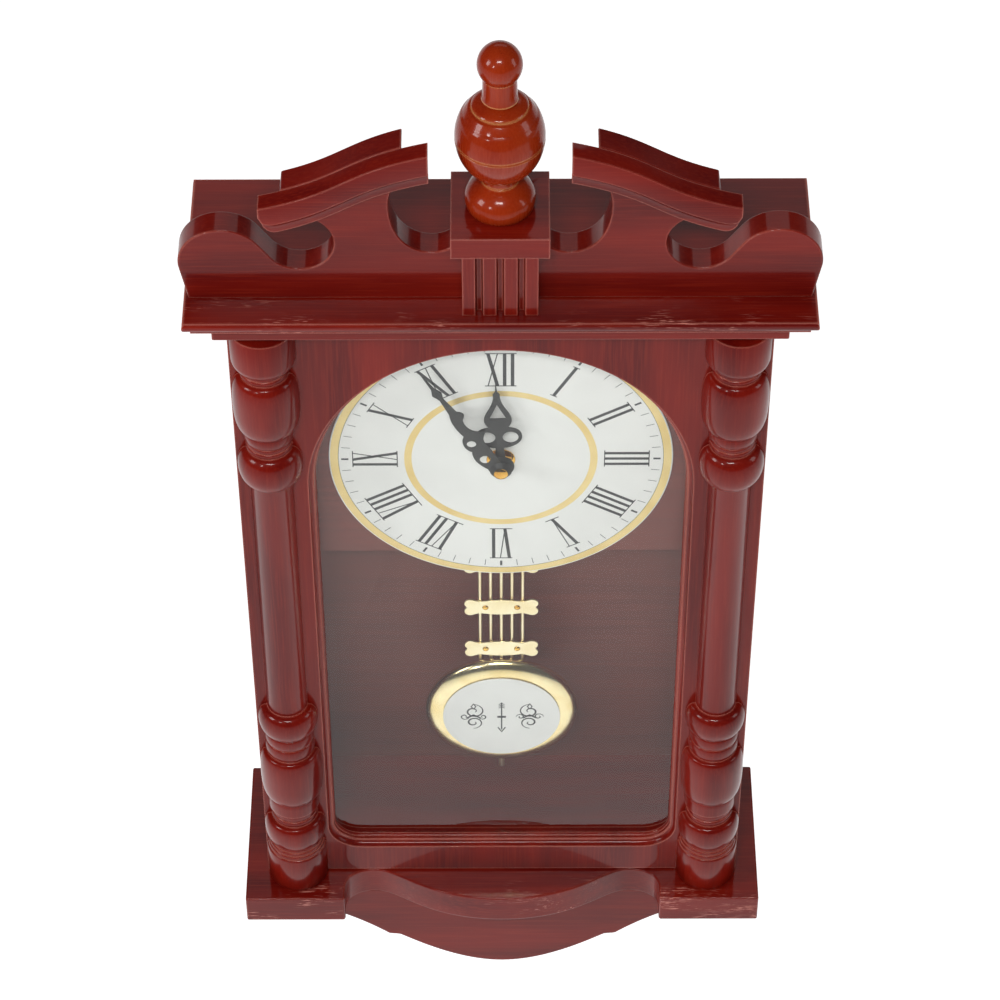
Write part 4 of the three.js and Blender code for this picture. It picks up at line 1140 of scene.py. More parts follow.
def screw_head(spot: Vector, facing: int, radius: float) -> bpy.types.Mesh:
    """Makes a low domed screw head with a cross slot.

    Args:
        spot: Centre of the face that the head sits on.
        facing: +1 where the head stands towards +Y, -1 towards -Y.
        radius: Radius of the head.

    Returns:
        The mesh.
    """
    rise = radius * 0.42
    steps = (i * math.pi / 16 for i in range(9))
    dome = [(radius * math.cos(a), rise * math.sin(a)) for a in steps]
    profile = [(0.0, -rise * 0.2), (radius, -rise * 0.2), *dome[:-1], (0.0, rise)]
    head = turning("head", [(r, facing * h) for r, h in profile], Axis.Y, spot, FINE)
    arm, width = radius * 0.62, radius * 0.13
    near, far = sorted((facing * rise * 0.35, facing * rise * 2))
    crosses = []
    for half_x, half_z in ((arm, width), (width, arm)):
        low = spot + Vector((-half_x, near, -half_z))
        crosses.append(slab("slot", low, spot + Vector((half_x, far, half_z))))
    return carve(head, crosses)


# ------------------------------------------------------------------------------ pediment


@dataclass
class Pediment:
    """The crest: scroll board, two scroll mouldings, fluted block, cap and finial."""

    ear_radius: float = 22.85 * MM
    ear_across: float = 143.3 * MM
    ear_height: float = 25.0 * MM
    curl_across: float = 103.3 * MM
    curl_height: float = 39.0 * MM
    foot_half: float = 162 * MM
    curl_radius: float = 18.0 * MM
    tongue: float = 22.0 * MM
    band: float = 13.0 * MM
    fall: float = 25.0 * MM
    foot: float = field(init=False)
    s_in: Point = field(init=False)
    s_out: Point = field(init=False)

    def __post_init__(self) -> None:
        """Reads the crest's places from the frame."""
        self.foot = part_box("pediment_board")[0].z
        low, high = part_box("scroll_moulding_right")
        self.s_in = (low.x, high.z)
        self.s_out = (high.x, self.foot + 72.6 * MM)

    def scroll_edge(self, steps: int) -> list[Point]:
        """Gives the lazy S that both the board and the moulding follow.

        Args:
            steps: Number of steps.

        Returns:
            Points from the inner end to the outer end.
        """
        run = (self.s_out[0] - self.s_in[0]) * 0.52
        climb = (self.s_in[1] - self.s_out[1]) * 0.31
        first = (self.s_in[0] + run, self.s_in[1] - climb)
        second = (self.s_out[0] - run, self.s_out[1] + climb)
        return [self.s_in] + cubic(self.s_in, first, second, self.s_out, steps)

    def edge_height(self, x: float) -> float:
        """Gives the S edge's height at a distance from the centre.

        Args:
            x: Distance from the centre line.

        Returns:
            The height.
        """
        points = self.scroll_edge(60)
        for (x0, z0), (x1, z1) in zip(points, points[1:]):
            if x0 <= x <= x1:
                return z0 + (z1 - z0) * (x - x0) / (x1 - x0)
        return points[-1][1]

    def board_half(self) -> list[Point]:
        """Gives the right half of the scroll board's outline.

        Returns:
            Points from the centre of the tongue to the centre of the foot.
        """
        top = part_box("pedestal_block")[1].z - self.foot
        inner, outer = 49.2 * MM, 111.0 * MM
        notch = inner + 7.6 * MM
        low = top * 0.79
        points = [(0.0, top), (self.tongue, top)]
        points += cubic(
            points[-1],
            (self.tongue + 2 * MM, top - 6 * MM),
            (self.tongue + 8 * MM, low),
            (self.tongue + 13 * MM, low),
            20,
        )
        rise = (notch, top * 1.1)
        points += cubic(points[-1], (inner - 1 * MM, low), rise, (notch, top * 1.57), 24)
        crown = (inner, self.edge_height(inner) - self.foot)
        points += cubic(points[-1], (notch, top * 1.9), (inner, top * 1.95), crown, 20)
        for x, z in self.scroll_edge(60):
            if inner + 1 * MM < x < outer - 1 * MM:
                points.append((x, z - self.foot))
        points.append((outer, self.edge_height(outer) - self.foot))
        points.append((outer + 1.5 * MM, self.curl_height + self.curl_radius + 7 * MM))
        points += self.curl_and_ear()
        points += [(self.foot_half, 0.0), (0.0, 0.0)]
        return [(x, z + self.foot) for x, z in points]

    def curl_and_ear(self) -> list[Point]:
        """Gives the round cut and the ear, which meet on their common tangent.

        Returns:
            Points from the beak to the ear's foot, with heights above the board's foot.
        """
        curl = (self.curl_across, self.curl_height)
        ear = (self.ear_across, self.ear_height)
        span = math.hypot(ear[0] - curl[0], ear[1] - curl[1])
        heading = math.atan2(curl[1] - ear[1], curl[0] - ear[0])
        reach = (self.ear_radius + self.curl_radius) / span
        touch = heading - math.acos(min(1.0, reach))
        cut = arc(*curl, self.curl_radius, math.pi / 2, touch + math.pi, 48)
        return cut + arc(*ear, self.ear_radius, touch, -0.1, 36)

    def build_board(self) -> None:
        """Builds the scroll board."""
        low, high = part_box("pediment_board")
        mesh = plate("pediment_board_sawn", mirrored(self.board_half()), low.y, high.y)
        dress("pediment_board_sawn", mesh, WOOD_ACROSS, "pediment_board", 0.8 * MM)

    def moulding_section(self, x: float, z: float, shrink: float) -> Ring:
        """Gives the moulding's cross-section: a flat band over a cove.

        Args:
            x: Place along the scroll.
            z: Height of the scroll's edge there.
            shrink: Share of the full height, for the rounded outer end.

        Returns:
            The section's points.
        """
        low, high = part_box("scroll_moulding_right")
        deep = (high.y - low.y) - 3 * MM
        points = [(high.y, 0.0), (low.y + 0.5 * MM, 0.0), (low.y + 0.15 * MM, -0.15 * MM)]
        points += [(low.y, -0.5 * MM), (low.y, (0.4 * MM - self.band) * shrink)]
        points.append((low.y + 0.4 * MM, -self.band * shrink))
        for i in range(1, 11):
            a = math.pi / 2 * i / 10
            down = self.band + (self.fall - self.band) * (1 - math.cos(a))
            points.append((low.y + 0.4 * MM + (deep - 0.4 * MM) * math.sin(a), -down * shrink))
        points.append((high.y, -self.fall * shrink))
        return [Vector((x, y, z + dz)) for y, dz in points]

    def build_mouldings(self) -> None:
        """Builds the scroll moulding on each side."""
        round_off = 9 * MM
        for side, sign in (("left", -1), ("right", 1)):
            rings = []
            for x, z in self.scroll_edge(72):
                t = min(1.0, max(0.0, self.s_out[0] - x) / round_off)
                shrink = 0.45 + 0.55 * math.sqrt(1 - (1 - t) ** 2)
                rings.append(self.moulding_section(sign * x, z, shrink))
            name = f"scroll_moulding_{side}_shaped"
            dress(name, skin(name, rings), WOOD_ACROSS, f"scroll_moulding_{side}", 0.35 * MM)

    def finial_profile(self) -> list[Point]:
        """Gives the finial's turned profile in millimetres above the cap."""
        base = [(18.3 * math.cos(a), 6 + 14 * math.sin(a)) for a in angles(0, 58, 16)]
        ball = [(23 * math.cos(a), 47.2 + 27 * math.sin(a)) for a in angles(-64, -3, 16)]
        upper = [(23 * math.cos(a), 47.2 + 27 * math.sin(a)) for a in angles(0, 31, 12)]
        shoulder = [(22.6 * math.cos(a), 47.2 + 26.6 * math.sin(a)) for a in angles(33, 45, 8)]
        knob = [(11.5 * math.cos(a), 93.41 + 12.19 * math.sin(a)) for a in angles(-38, 90, 22)]
        collar = [(14.6 * math.cos(a), 66.9 + 4.6 * math.sin(a)) for a in angles(8, 78, 12)]
        return [
            (0, 0),
            (15.9, 0),
            (16.6, 0.4),
            (17.3, 1.3),
            (17.9, 3.2),
            *base,
            (9.5, 18.1),
            (9.6, 19.0),
            (10.1, 19.5),
            (10.0, 21.2),
            (10.1, 22.0),
            *ball,
            (22.5, 46.5),
            (22.5, 46.9),
            *upper,
            *shoulder,
            (15.0, 66.3),
            (14.3, 66.7),
            *collar,
            (9.4, 72.0),
            (9.0, 73.2),
            (8.8, 77.0),
            (8.7, 83.0),
            (8.6, 85.4),
            *knob[:-1],
            (0, 105.6),
        ]

    def build_finial(self) -> None:
        """Builds the turned finial."""
        low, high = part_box("finial")
        cap_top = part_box("pedestal_cap")[1].z
        centre = Vector(((low.x + high.x) / 2, (low.y + high.y) / 2, cap_top + 0.3 * MM))
        mesh = turning("finial_turned", in_metres(self.finial_profile()), Axis.Z, centre)
        dress("finial_turned", mesh, WOOD_FINIAL, "finial")

    def build(self) -> None:
        """Builds every piece of the crest."""
        self.build_board()
        self.build_mouldings()
        refine("pedestal_block", WOOD_UP, 0.45 * MM)
        refine("pedestal_cap", WOOD_ACROSS, 1.0 * MM)
        self.build_finial()


def angles(first: float, last: float, steps: int) -> list[float]:
    """Gives evenly spaced angles.

    Args:
        first: First angle in degrees.
        last: Last angle in degrees.
        steps: Number of steps.

    Returns:
        The angles in radians.
    """
    return [math.radians(first + (last - first) * i / steps) for i in range(steps + 1)]


# ------------------------------------------------------------------------------ door


@dataclass
class Door:
    """The glazed door: frame, glass, clips, split columns, hinge leaves and strike plate."""

    sight: float = 102.3 * MM
    corner: float = 16.0 * MM
    arch_drop: float = 130.2 * MM
    bottom_rail: float = 26.2 * MM
    moulding: float = 4.0 * MM
    rabbet: float = 5.0 * MM

    def __post_init__(self) -> None:
        """Reads the door's places from the frame."""
        self.low, self.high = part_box("door_frame")
        self.arch = self.high.z - self.arch_drop
        self.sill = self.low.z + self.bottom_rail

    def loops(self) -> list[tuple[Point, float, float, Point]]:
        """Walks round the window's outline.

        Returns:
            For each place: the arc centre, the radius there, the angle, and the matching point on
            the door's outer edge.
        """
        half, low, high = self.high.x, self.low.z, self.high.z
        spots = []
        head_corner = math.degrees(math.atan2(high - self.arch, half))
        turns = angles(0, head_corner, 20) + angles(head_corner, 180 - head_corner, 28)[1:]
        turns += angles(180 - head_corner, 180, 20)[1:]
        for a in turns:
            aside = half / max(abs(math.cos(a)), 1e-9)
            reach = min(aside, (high - self.arch) / max(math.sin(a), 1e-9))
            outer = (reach * math.cos(a), self.arch + reach * math.sin(a))
            spots.append(((0.0, self.arch), self.sight, a, outer))
        for side, first in ((-1, 180), (1, 270)):
            centre = (side * (self.sight - self.corner), self.sill + self.corner)
            over, under = half - abs(centre[0]), centre[1] - low
            split = math.degrees(math.atan2(under, over))
            mid = 180 + split if side < 0 else 360 - split
            for a in angles(first, mid, 8) + angles(mid, first + 90, 8)[1:]:
                reach = min(over / max(abs(math.cos(a)), 1e-9), under / max(-math.sin(a), 1e-9))
                outer = (centre[0] + reach * math.cos(a), centre[1] + reach * math.sin(a))
                spots.append((centre, self.corner, a, outer))
        return spots

    def ring(self, offset: Optional[float], y: float) -> Ring:
        """Gives one ring of the frame.

        Args:
            offset: Distance outside the sight line, or None for the door's outer edge.
            y: Place of the ring.

        Returns:
            The ring's points.
        """
        points = []
        for centre, radius, a, outer in self.loops():
            if offset is None:
                points.append(Vector((outer[0], y, outer[1])))
                continue
            reach = radius + offset
            x, z = centre[0] + reach * math.cos(a), centre[1] + reach * math.sin(a)
            points.append(Vector((x, y, z)))
        return points

    def frame_rings(self) -> list[Ring]:
        """Gives the frame's rings from its outer back edge round to its inner back edge."""
        front, back = self.low.y, self.high.y
        glass_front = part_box("door_glass")[0].y - 0.3 * MM
        rings = [self.ring(None, back), self.ring(None, front), self.ring(self.moulding, front)]
        ovolo = 3.6 * MM
        for a in angles(9, 90, 9):
            offset = self.moulding - (self.moulding - 1.7 * MM) * (1 - math.cos(a))
            rings.append(self.ring(offset, front + ovolo * math.sin(a)))
        stations = ((1.5, 4.0), (1.0, 4.15), (0.85, 4.5), (0.7, 6.0), (0.2, 6.35), (0.0, 6.8))
        for offset, depth in stations:
            rings.append(self.ring(offset * MM, front + depth * MM))
        rings.append(self.ring(0.0, glass_front))
        rings.append(self.ring(self.rabbet, glass_front))
        rings.append(self.ring(self.rabbet, back))
        return rings

    def build_frame(self) -> None:
        """Builds the door frame, mortised for the hinge leaves."""
        mesh = skin("door_frame_moulded", self.frame_rings(), looped=True)
        mortices = []
        for level in ("upper", "lower"):
            low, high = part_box(f"hinge_{level}_door_leaf")
            pin_low, pin_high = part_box(f"hinge_{level}_pin")
            axis = (pin_low + pin_high) / 2
            room = 0.3 * MM
            start = (low.x - room, low.y - room, low.z - room)
            mortices.append(slab("seat", start, (axis.x, self.high.y + 1 * MM, high.z + room)))
            groove = high.x - axis.x + room
            ends = ((0.0, pin_low.z - room), (groove, pin_low.z - room))
            profile = [*ends, (groove, pin_high.z + room), (0.0, pin_high.z + room)]
            middle = Vector((axis.x, axis.y, 0))
            mortices.append(turning("groove", profile, Axis.Z, middle, FINE))
        mesh = carve(mesh, mortices)
        dress("door_frame_moulded", mesh, WOOD_UP, "door_frame", 0.7 * MM)

    def build_glass(self) -> None:
        """Builds the pane and the clips that hold it from behind."""
        low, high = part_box("door_glass")
        outline = [(p.x, p.z) for p in self.ring(self.rabbet - 1 * MM, 0.0)]
        dress("door_pane", plate("door_pane", outline, low.y, high.y), GLASS, "door_glass")
        heads = []
        for level in ("upper", "lower"):
            for side, sign in (("left", -1), ("right", 1)):
                node = f"glass_clip_{level}_{side}"
                refine(node, ZINC, 0.12 * MM)
                low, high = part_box(node)
                x = (low.x if sign < 0 else high.x) - sign * 3.6 * MM
                heads.append(screw_head(Vector((x, high.y, (low.z + high.z) / 2)), 1, 2.2 * MM))
        mesh = merged("glass_clip_screws", heads)
        dress("glass_clip_screws", mesh, ZINC, "door_frame", 0.0, stands_in=False)

    def column_profile(self, height: float) -> list[Point]:
        """Gives a column's turned profile.

        Args:
            height: Height of the column in millimetres.

        Returns:
            Radius and height pairs from the foot up, in millimetres.
        """
        lower = [(0, 0), (17.9, 0), (18.35, 0.6), (18.35, 27.8), (18.1, 28.7), (17.3, 29.2)]
        lower += swelling(29.2, 32.0, 16.9, 17.5, 2.0, 6)
        lower += swelling(32.2, 34.5, 16.1, 16.7, 2.0, 6)
        lower += swelling(34.7, 37.0, 15.3, 15.9, 2.0, 6)
        lower += swelling(37.2, 57.5, 15.0, 18.7, 2.2, 24)
        lower += swelling(57.9, 62.0, 13.5, 14.3, 2.0, 8)
        lower += swelling(62.2, 67.9, 13.2, 14.0, 2.0, 8)
        lower += [(14.6, 68.2), (15.5, 68.8), (15.6, 71.0), (15.45, 76.0)]
        lower += [(15.3, 79.6), (14.9, 80.3)]
        lower += swelling(80.5, 120.4, 15.0, 18.8, 2.5, 30)
        lower += swelling(120.9, 130.5, 13.9, 15.0, 2.0, 12)
        lower += swelling(130.9, 139.6, 13.8, 14.9, 2.0, 12)
        lower += swelling(140.0, 161.0, 12.9, 17.8, 2.05, 24)
        lower += [(12.0, 161.6), (12.0, 163.0)]
        falls = [(12.0, 116.0), (12.2, 115.2)]
        falls += [(r, d) for r, d in reversed(swelling(90.0, 114.9, 12.4, 18.1, 2.05, 26))]
        falls += [(r, d) for r, d in reversed(swelling(86.4, 89.6, 12.3, 13.1, 2.0, 8))]
        falls += [(r, d) for r, d in reversed(swelling(83.0, 86.2, 12.1, 12.8, 2.0, 8))]
        falls += [(13.2, 82.2), (13.7, 81.4), (13.8, 78.0), (13.5, 74.9)]
        falls += [(r, d) for r, d in reversed(swelling(33.8, 74.4, 13.2, 18.4, 2.5, 32))]
        falls += [(r, d) for r, d in reversed(swelling(30.2, 33.4, 12.7, 13.5, 2.0, 8))]
        falls += [(r, d) for r, d in reversed(swelling(26.9, 30.0, 12.5, 13.1, 2.0, 8))]
        falls += cubic((13.4, 26.6), (15.6, 26.0), (17.7, 24.0), (17.7, 20.0), 12)
        falls += [(17.7, 0.7), (17.3, 0.0), (0.0, 0.0)]
        return lower + [(r, height - d) for r, d in falls]

    def build_columns(self) -> None:
        """Builds the two split columns: each is turned whole, then sawn along its length."""
        for side in ("left", "right"):
            node = f"column_{side}"
            low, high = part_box(node)
            centre = Vector(((low.x + high.x) / 2, self.low.y + 1 * MM, low.z))
            profile = in_metres(self.column_profile((high.z - low.z) / MM))
            mesh = turning(f"{node}_turned", profile, Axis.Z, centre)
            bm = bmesh.new()
            bm.from_mesh(mesh)
            every = bm.verts[:] + bm.edges[:] + bm.faces[:]
            flat = Vector((0, high.y, 0))
            cut = bmesh.ops.bisect_plane(
                bm, geom=every, dist=1e-7, plane_co=flat, plane_no=(0, 1, 0), clear_outer=True
            )
            rim = [e for e in cut["geom_cut"] if isinstance(e, bmesh.types.BMEdge)]
            bmesh.ops.holes_fill(bm, edges=rim, sides=0)
            bm.to_mesh(mesh)
            bm.free()
            dress(f"{node}_turned", shaded(mesh, 50), WOOD_TURNED, node)

    def build(self) -> None:
        """Builds every piece of the door."""
        self.build_frame()
        self.build_glass()
        self.build_columns()
        refine("strike_plate", ZINC, 0.2 * MM)


# ------------------------------------------------------------------------------ hardware


@dataclass
class Hardware:
    """Hinges with their pins and screws, and the catch."""

    arris: float = 0.15 * MM

    def build_hinge(self, level: str) -> None:
        """Builds one hinge.

        Args:
            level: Upper or lower.
        """
        for holder, faces in (("case", -1), ("door", 1)):
            node = f"hinge_{level}_{holder}_leaf"
            refine(node, BRASS, self.arris)
            low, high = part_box(node)
            frame_node = "case_side_right" if holder == "case" else "door_frame"
            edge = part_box(frame_node)[0 if holder == "case" else 1].y
            middle, reach = (low.z + high.z) / 2, (high.z - low.z) * 0.3
            spots = [Vector((low.x + 6 * MM, edge, middle + s * reach)) for s in (-1, 1)]
            heads = [screw_head(spot, faces, 1.7 * MM) for spot in spots]
            name = f"hinge_{level}_{holder}_screws"
            dress(name, merged(name, heads), BRASS, node, 0.0, stands_in=False)
        node = f"hinge_{level}_pin"
        low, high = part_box(node)
        centre = Vector(((low.x + high.x) / 2, (low.y + high.y) / 2, 0))
        tip = (high.x - low.x) / 2
        shank, head = 0.7 * MM, 0.7 * MM
        top = rounded_end(tip, high.z, 0.4 * MM, 1) + [(tip, high.z - head)]
        foot = rounded_end(tip, low.z, 0.4 * MM, -1) + [(tip, low.z + head)]
        profile = foot + [(shank, low.z + head), (shank, high.z - head)] + top[::-1]
        mesh = turning(f"hinge_{level}_pin_turned", profile, Axis.Z, centre, FINE)
        dress(f"hinge_{level}_pin_turned", mesh, BRASS, node)

    def build(self) -> None:
        """Builds the hinges and the catch."""
        for level in ("upper", "lower"):
            self.build_hinge(level)
        refine("catch_body", BLACK_PLASTIC, 0.5 * MM)


# ------------------------------------------------------------------------------ dial and hands


@dataclass
class Dial:
    """The printed dial, the board behind it, and the washer and nut that clamp them."""

    gold_outer: Point = (95.2, 90.7)  # outer and inner radius of the gold rim
    gold_inner: Point = (53.9, 49.8)
    numeral: Point = (57.8, 82.6)
    minute: Point = (84.4, 89.2)
    thick_minute: Point = (85.0, 89.0)
    raised: float = 0.04 * MM

    def __post_init__(self) -> None:
        """Reads the dial's centre from the frame."""
        low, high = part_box("dial_plate")
        self.centre = Vector(((low.x + high.x) / 2, low.y, (low.z + high.z) / 2))

    def polar(self, hour: float, radius: float, aside: float) -> Point:
        """Turns a place on the dial into X and Z.

        Args:
            hour: Clock hour of the radius that it lies by.
            radius: Distance from the centre in millimetres.
            aside: Distance clockwise of that radius in millimetres.

        Returns:
            The point in metres.
        """
        a = math.tau * hour / 12
        x = radius * math.sin(a) + aside * math.cos(a)
        z = radius * math.cos(a) - aside * math.sin(a)
        return (self.centre.x + x * MM, self.centre.z + z * MM)

    def stroke(self, hour: float, start: Point, stop: Point, width: float) -> bpy.types.Mesh:
        """Prints one straight stroke.

        Args:
            hour: Clock hour of the radius that it lies by.
            start: Radius and side distance of its start in millimetres.
            stop: Radius and side distance of its end in millimetres.
            width: Width in millimetres.

        Returns:
            The mesh.
        """
        dx, dz = stop[1] - start[1], stop[0] - start[0]
        length = math.hypot(dx, dz)
        nx, nz = dz / length * width / 2, -dx / length * width / 2
        corners = [
            (start[0] + nz, start[1] + nx),
            (stop[0] + nz, stop[1] + nx),
            (stop[0] - nz, stop[1] - nx),
            (start[0] - nz, start[1] - nx),
        ]
        outline = [self.polar(hour, r, s) for r, s in corners]
        return plate("stroke", outline, self.centre.y - self.raised, self.centre.y)

    def glyph(self, hour: int) -> list[bpy.types.Mesh]:
        """Prints one Roman numeral with its feet towards the centre.

        Args:
            hour: The hour from 1 to 12.

        Returns:
            Its strokes.
        """
        words = {4: "IIII"}
        tens, rest = divmod(hour, 10)
        ones = ["", "I", "II", "III", "IIII", "V", "VI", "VII", "VIII", "IX"][rest]
        word = words.get(hour, "X" * tens + ones)
        widths = {"I": 4.3, "V": 8.6, "X": 8.6}
        total = sum(widths[c] for c in word)
        inner, outer = self.numeral
        strokes = []
        left = -total / 2
        for letter in word:
            w = widths[letter]
            mid = left + w / 2
            if letter == "I":
                strokes.append(self.stroke(hour, (inner, mid), (outer, mid), 1.9))
            elif letter == "V":
                strokes.append(self.stroke(hour, (outer, mid - w * 0.3), (inner, mid), 1.9))
                strokes.append(self.stroke(hour, (outer, mid + w * 0.3), (inner, mid), 0.6))
            else:
                thick = ((outer, mid - w * 0.3), (inner, mid + w * 0.3))
                thin = ((outer, mid + w * 0.3), (inner, mid - w * 0.3))
                strokes.append(self.stroke(hour, *thick, 1.9))
                strokes.append(self.stroke(hour, *thin, 0.6))
            left += w
        for radius in (inner, outer):
            ends = ((radius, -total / 2), (radius, total / 2))
            strokes.append(self.stroke(hour, *ends, 0.6))
        return strokes

    def ring(self, name: str, radii: Point) -> bpy.types.Mesh:
        """Prints a ring round the dial.

        Args:
            name: Name of the mesh.
            radii: Outer and inner radius in millimetres.

        Returns:
            The mesh.
        """
        outer, inner = (r * MM for r in radii)
        top = -self.raised
        profile = [(inner, 0), (inner, top), (outer, top), (outer, 0), (inner, 0)]
        return turning(name, profile, Axis.Y, self.centre, ROUND * 2)

    def build_plate(self) -> None:
        """Builds the dial plate with a rolled rim, and the prints on it."""
        low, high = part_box("dial_plate")
        radius, thick = high.x, high.y - low.y
        hole = 4.3 * MM
        rim = [
            (radius - 0.5 * MM + 0.5 * MM * math.sin(a), thick / 2 - thick / 2 * math.cos(a))
            for a in angles(0, 180, 8)
        ]
        profile = [(hole, 0.0), *rim, (hole, thick), (hole, 0.0)]
        mesh = turning("dial_plate_rolled", profile, Axis.Y, self.centre, ROUND * 2)
        dress("dial_plate_rolled", mesh, DIAL_WHITE, "dial_plate")
        bands = (("dial_gold_rim", self.gold_outer), ("dial_gold_ring", self.gold_inner))
        for name, radii in bands:
            dress(name, self.ring(name, radii), GOLD_FOIL, "dial_plate", 0.0, stands_in=False)
        ink = [stroke for hour in range(1, 13) for stroke in self.glyph(hour)]
        dress("dial_numerals", merged("dial_numerals", ink), DIAL_INK, "dial_plate", 0.0, False)
        track = [self.ring("track", (90.75, 90.5))]
        for step in range(60):
            span, width = (self.minute, 0.35) if step % 5 else (self.thick_minute, 1.3)
            ends = ((span[0], 0.0), (span[1], 0.0))
            track.append(self.stroke(step / 5, *ends, width))
        ticks = merged("dial_minute_track", track)
        dress("dial_minute_track", ticks, DIAL_INK, "dial_plate", 0.0, False)

    def build_clamp(self) -> None:
        """Builds the washer and the hexagon nut on the hand shaft's bush."""
        low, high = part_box("mounting_washer")
        thick, radius, hole = high.y - low.y, high.x, 4.3 * MM
        edge = 0.2 * MM
        profile = [
            (hole, edge),
            (hole + edge, 0.0),
            (radius - edge, 0.0),
            (radius, edge),
            (radius, thick),
            (hole, thick),
            (hole, edge),
        ]
        centre = Vector((0, low.y, self.centre.z))
        mesh = turning("mounting_washer_stamped", profile, Axis.Y, centre, FINE * 2)
        dress("mounting_washer_stamped", mesh, BRASS, "mounting_washer")
        refine("mounting_nut", BRASS, 0.25 * MM)

    def build(self) -> None:
        """Builds the dial, its board and its clamp."""
        refine("dial_board", HARDBOARD, 0.4 * MM)
        self.build_plate()
        self.build_clamp()


class HandKind(Enum):
    """The two hands, by the name of their CAD node."""

    HOUR = "hour_hand"
    MINUTE = "minute_hand"


@dataclass
class Hands:
    """Serpentine hands with coned hubs, the cap nut over them, and their shafts."""

    hour_angle: float = -2.5
    minute_angle: float = -30.0
    plate_thick: float = 0.7 * MM

    def hour_outline(self, tip: float) -> tuple[list[Point], list[list[Point]]]:
        """Gives the hour hand's outline and windows, upright with its hub at the origin.

        Args:
            tip: Length of the hand in millimetres.

        Returns:
            The outline and its holes.
        """
        n = 10
        left = [(-3.4, 0.0), (-2.2, tip * 0.22)]
        left += cubic(left[-1], (-9, tip * 0.23), (-14, tip * 0.30), (-12.6, tip * 0.38), n)
        left += cubic(left[-1], (-11.6, tip * 0.45), (-7, tip * 0.46), (-5.2, tip * 0.46), n)
        left += cubic(left[-1], (-9.5, tip * 0.54), (-7.4, tip * 0.60), (-4.6, tip * 0.68), n)
        left += cubic(left[-1], (-2.4, tip * 0.75), (-1.6, tip * 0.80), (-2, tip * 0.85), n)
        left += [(-0.6, tip * 0.88), (0.0, tip)]
        outline = left + [(-x, z) for x, z in reversed(left[:-1])]
        eyes = [arc(s * 6.4, tip * 0.345, 4.4, 0, math.tau * 27 / 28, 27) for s in (-1, 1)]
        return outline, [*eyes, [(-4.6, tip * 0.57), (0.0, tip * 0.73), (4.6, tip * 0.57)]]

    def minute_outline(self, tip: float) -> tuple[list[Point], list[list[Point]]]:
        """Gives the minute hand's outline and windows, upright with its hub at the origin.

        Args:
            tip: Length of the hand in millimetres.

        Returns:
            The outline and its holes.
        """
        n = 10
        line = [(-3.2, 0.0)]
        line += cubic(line[-1], (-8, tip * 0.08), (-10, tip * 0.16), (-6.4, tip * 0.23), n)
        line += cubic(line[-1], (-9, tip * 0.26), (-8.6, tip * 0.34), (-4.2, tip * 0.37), n)
        line += cubic(line[-1], (-5.6, tip * 0.46), (-4.4, tip * 0.54), (-2.4, tip * 0.58), n)
        line += [(-1.2, tip * 0.72), (-3, tip * 0.77), (-1, tip * 0.82), (0, tip), (1, tip * 0.82)]
        line += [(3, tip * 0.77), (1.2, tip * 0.72), (2.2, tip * 0.58)]
        line += cubic(line[-1], (6, tip * 0.55), (5, tip * 0.53), (2, tip * 0.5), n)
        line += cubic(line[-1], (-0.6, tip * 0.44), (1.4, tip * 0.36), (8.4, tip * 0.35), n)
        line += cubic(line[-1], (5, tip * 0.30), (2.4, tip * 0.30), (3.6, tip * 0.2), n)
        line += [(3.2, 0.0)]
        eyes = [(-3.2, 0.13, 3.1), (-3.6, 0.29, 2.6)]
        return line, [arc(x, tip * z, r, 0, math.tau * 23 / 24, 23) for x, z, r in eyes]

    def build_hand(self, kind: HandKind, tip: float, angle: float, hub: float) -> None:
        """Builds one hand.

        Args:
            kind: Which hand.
            tip: Length in millimetres.
            angle: Degrees clockwise from twelve.
            hub: Radius of its hub in millimetres.
        """
        node = kind.value
        low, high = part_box(node)
        axis = Dial().centre
        shapes = self.hour_outline(tip) if kind is HandKind.HOUR else self.minute_outline(tip)
        outline, holes = in_metres(shapes[0]), [in_metres(h) for h in shapes[1]]
        blade = plate(f"{node}_blade", outline, high.y - self.plate_thick, high.y, holes)
        rise = high.y - low.y
        cone = [
            (0.0, 0.0),
            (hub, 0.0),
            (hub, -0.9),
            (hub - 0.25, -1.1),
            (hub * 0.66, -rise / MM + 0.25),
            (hub * 0.62, -rise / MM),
            (0.0, -rise / MM),
        ]
        boss = turning("hub", in_metres(cone), Axis.Y, Vector((0, high.y, 0)), 48)
        mesh = merged(f"{node}_pressed", [blade, boss])
        turn = Matrix.Rotation(math.radians(angle), 4, "Y")
        mesh.transform(Matrix.Translation((axis.x, 0, axis.z)) @ turn)
        dress(f"{node}_pressed", mesh, HAND_BLACK, node, 0.18 * MM)

    def build(self) -> None:
        """Builds both hands, the cap nut and the wheels and shafts that turn them."""
        self.build_hand(HandKind.HOUR, 66.8, self.hour_angle, 7.5)
        self.build_hand(HandKind.MINUTE, 90.2, self.minute_angle, 6.2)
        low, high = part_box("cap_nut")
        radius, deep = (high.x - low.x) / 2, high.y - low.y
        knurl = [(0.0, 0.0), (radius * 0.55, 0.06 * MM), (radius * 0.82, 0.4 * MM)]
        profile = knurl + [(radius, 0.85 * MM), (radius, deep), (0.0, deep)]
        centre = Vector((0, low.y, (low.z + high.z) / 2))
        mesh = turning("cap_nut_turned", profile, Axis.Y, centre, FINE * 2)
        dress("cap_nut_turned", mesh, BRASS, "cap_nut")
        for node, finish in (("hour_wheel", GEAR_PLASTIC), ("minute_arbor", BRASS)):
            refine(node, finish, 0.08 * MM)


# ------------------------------------------------------------------------------ movement


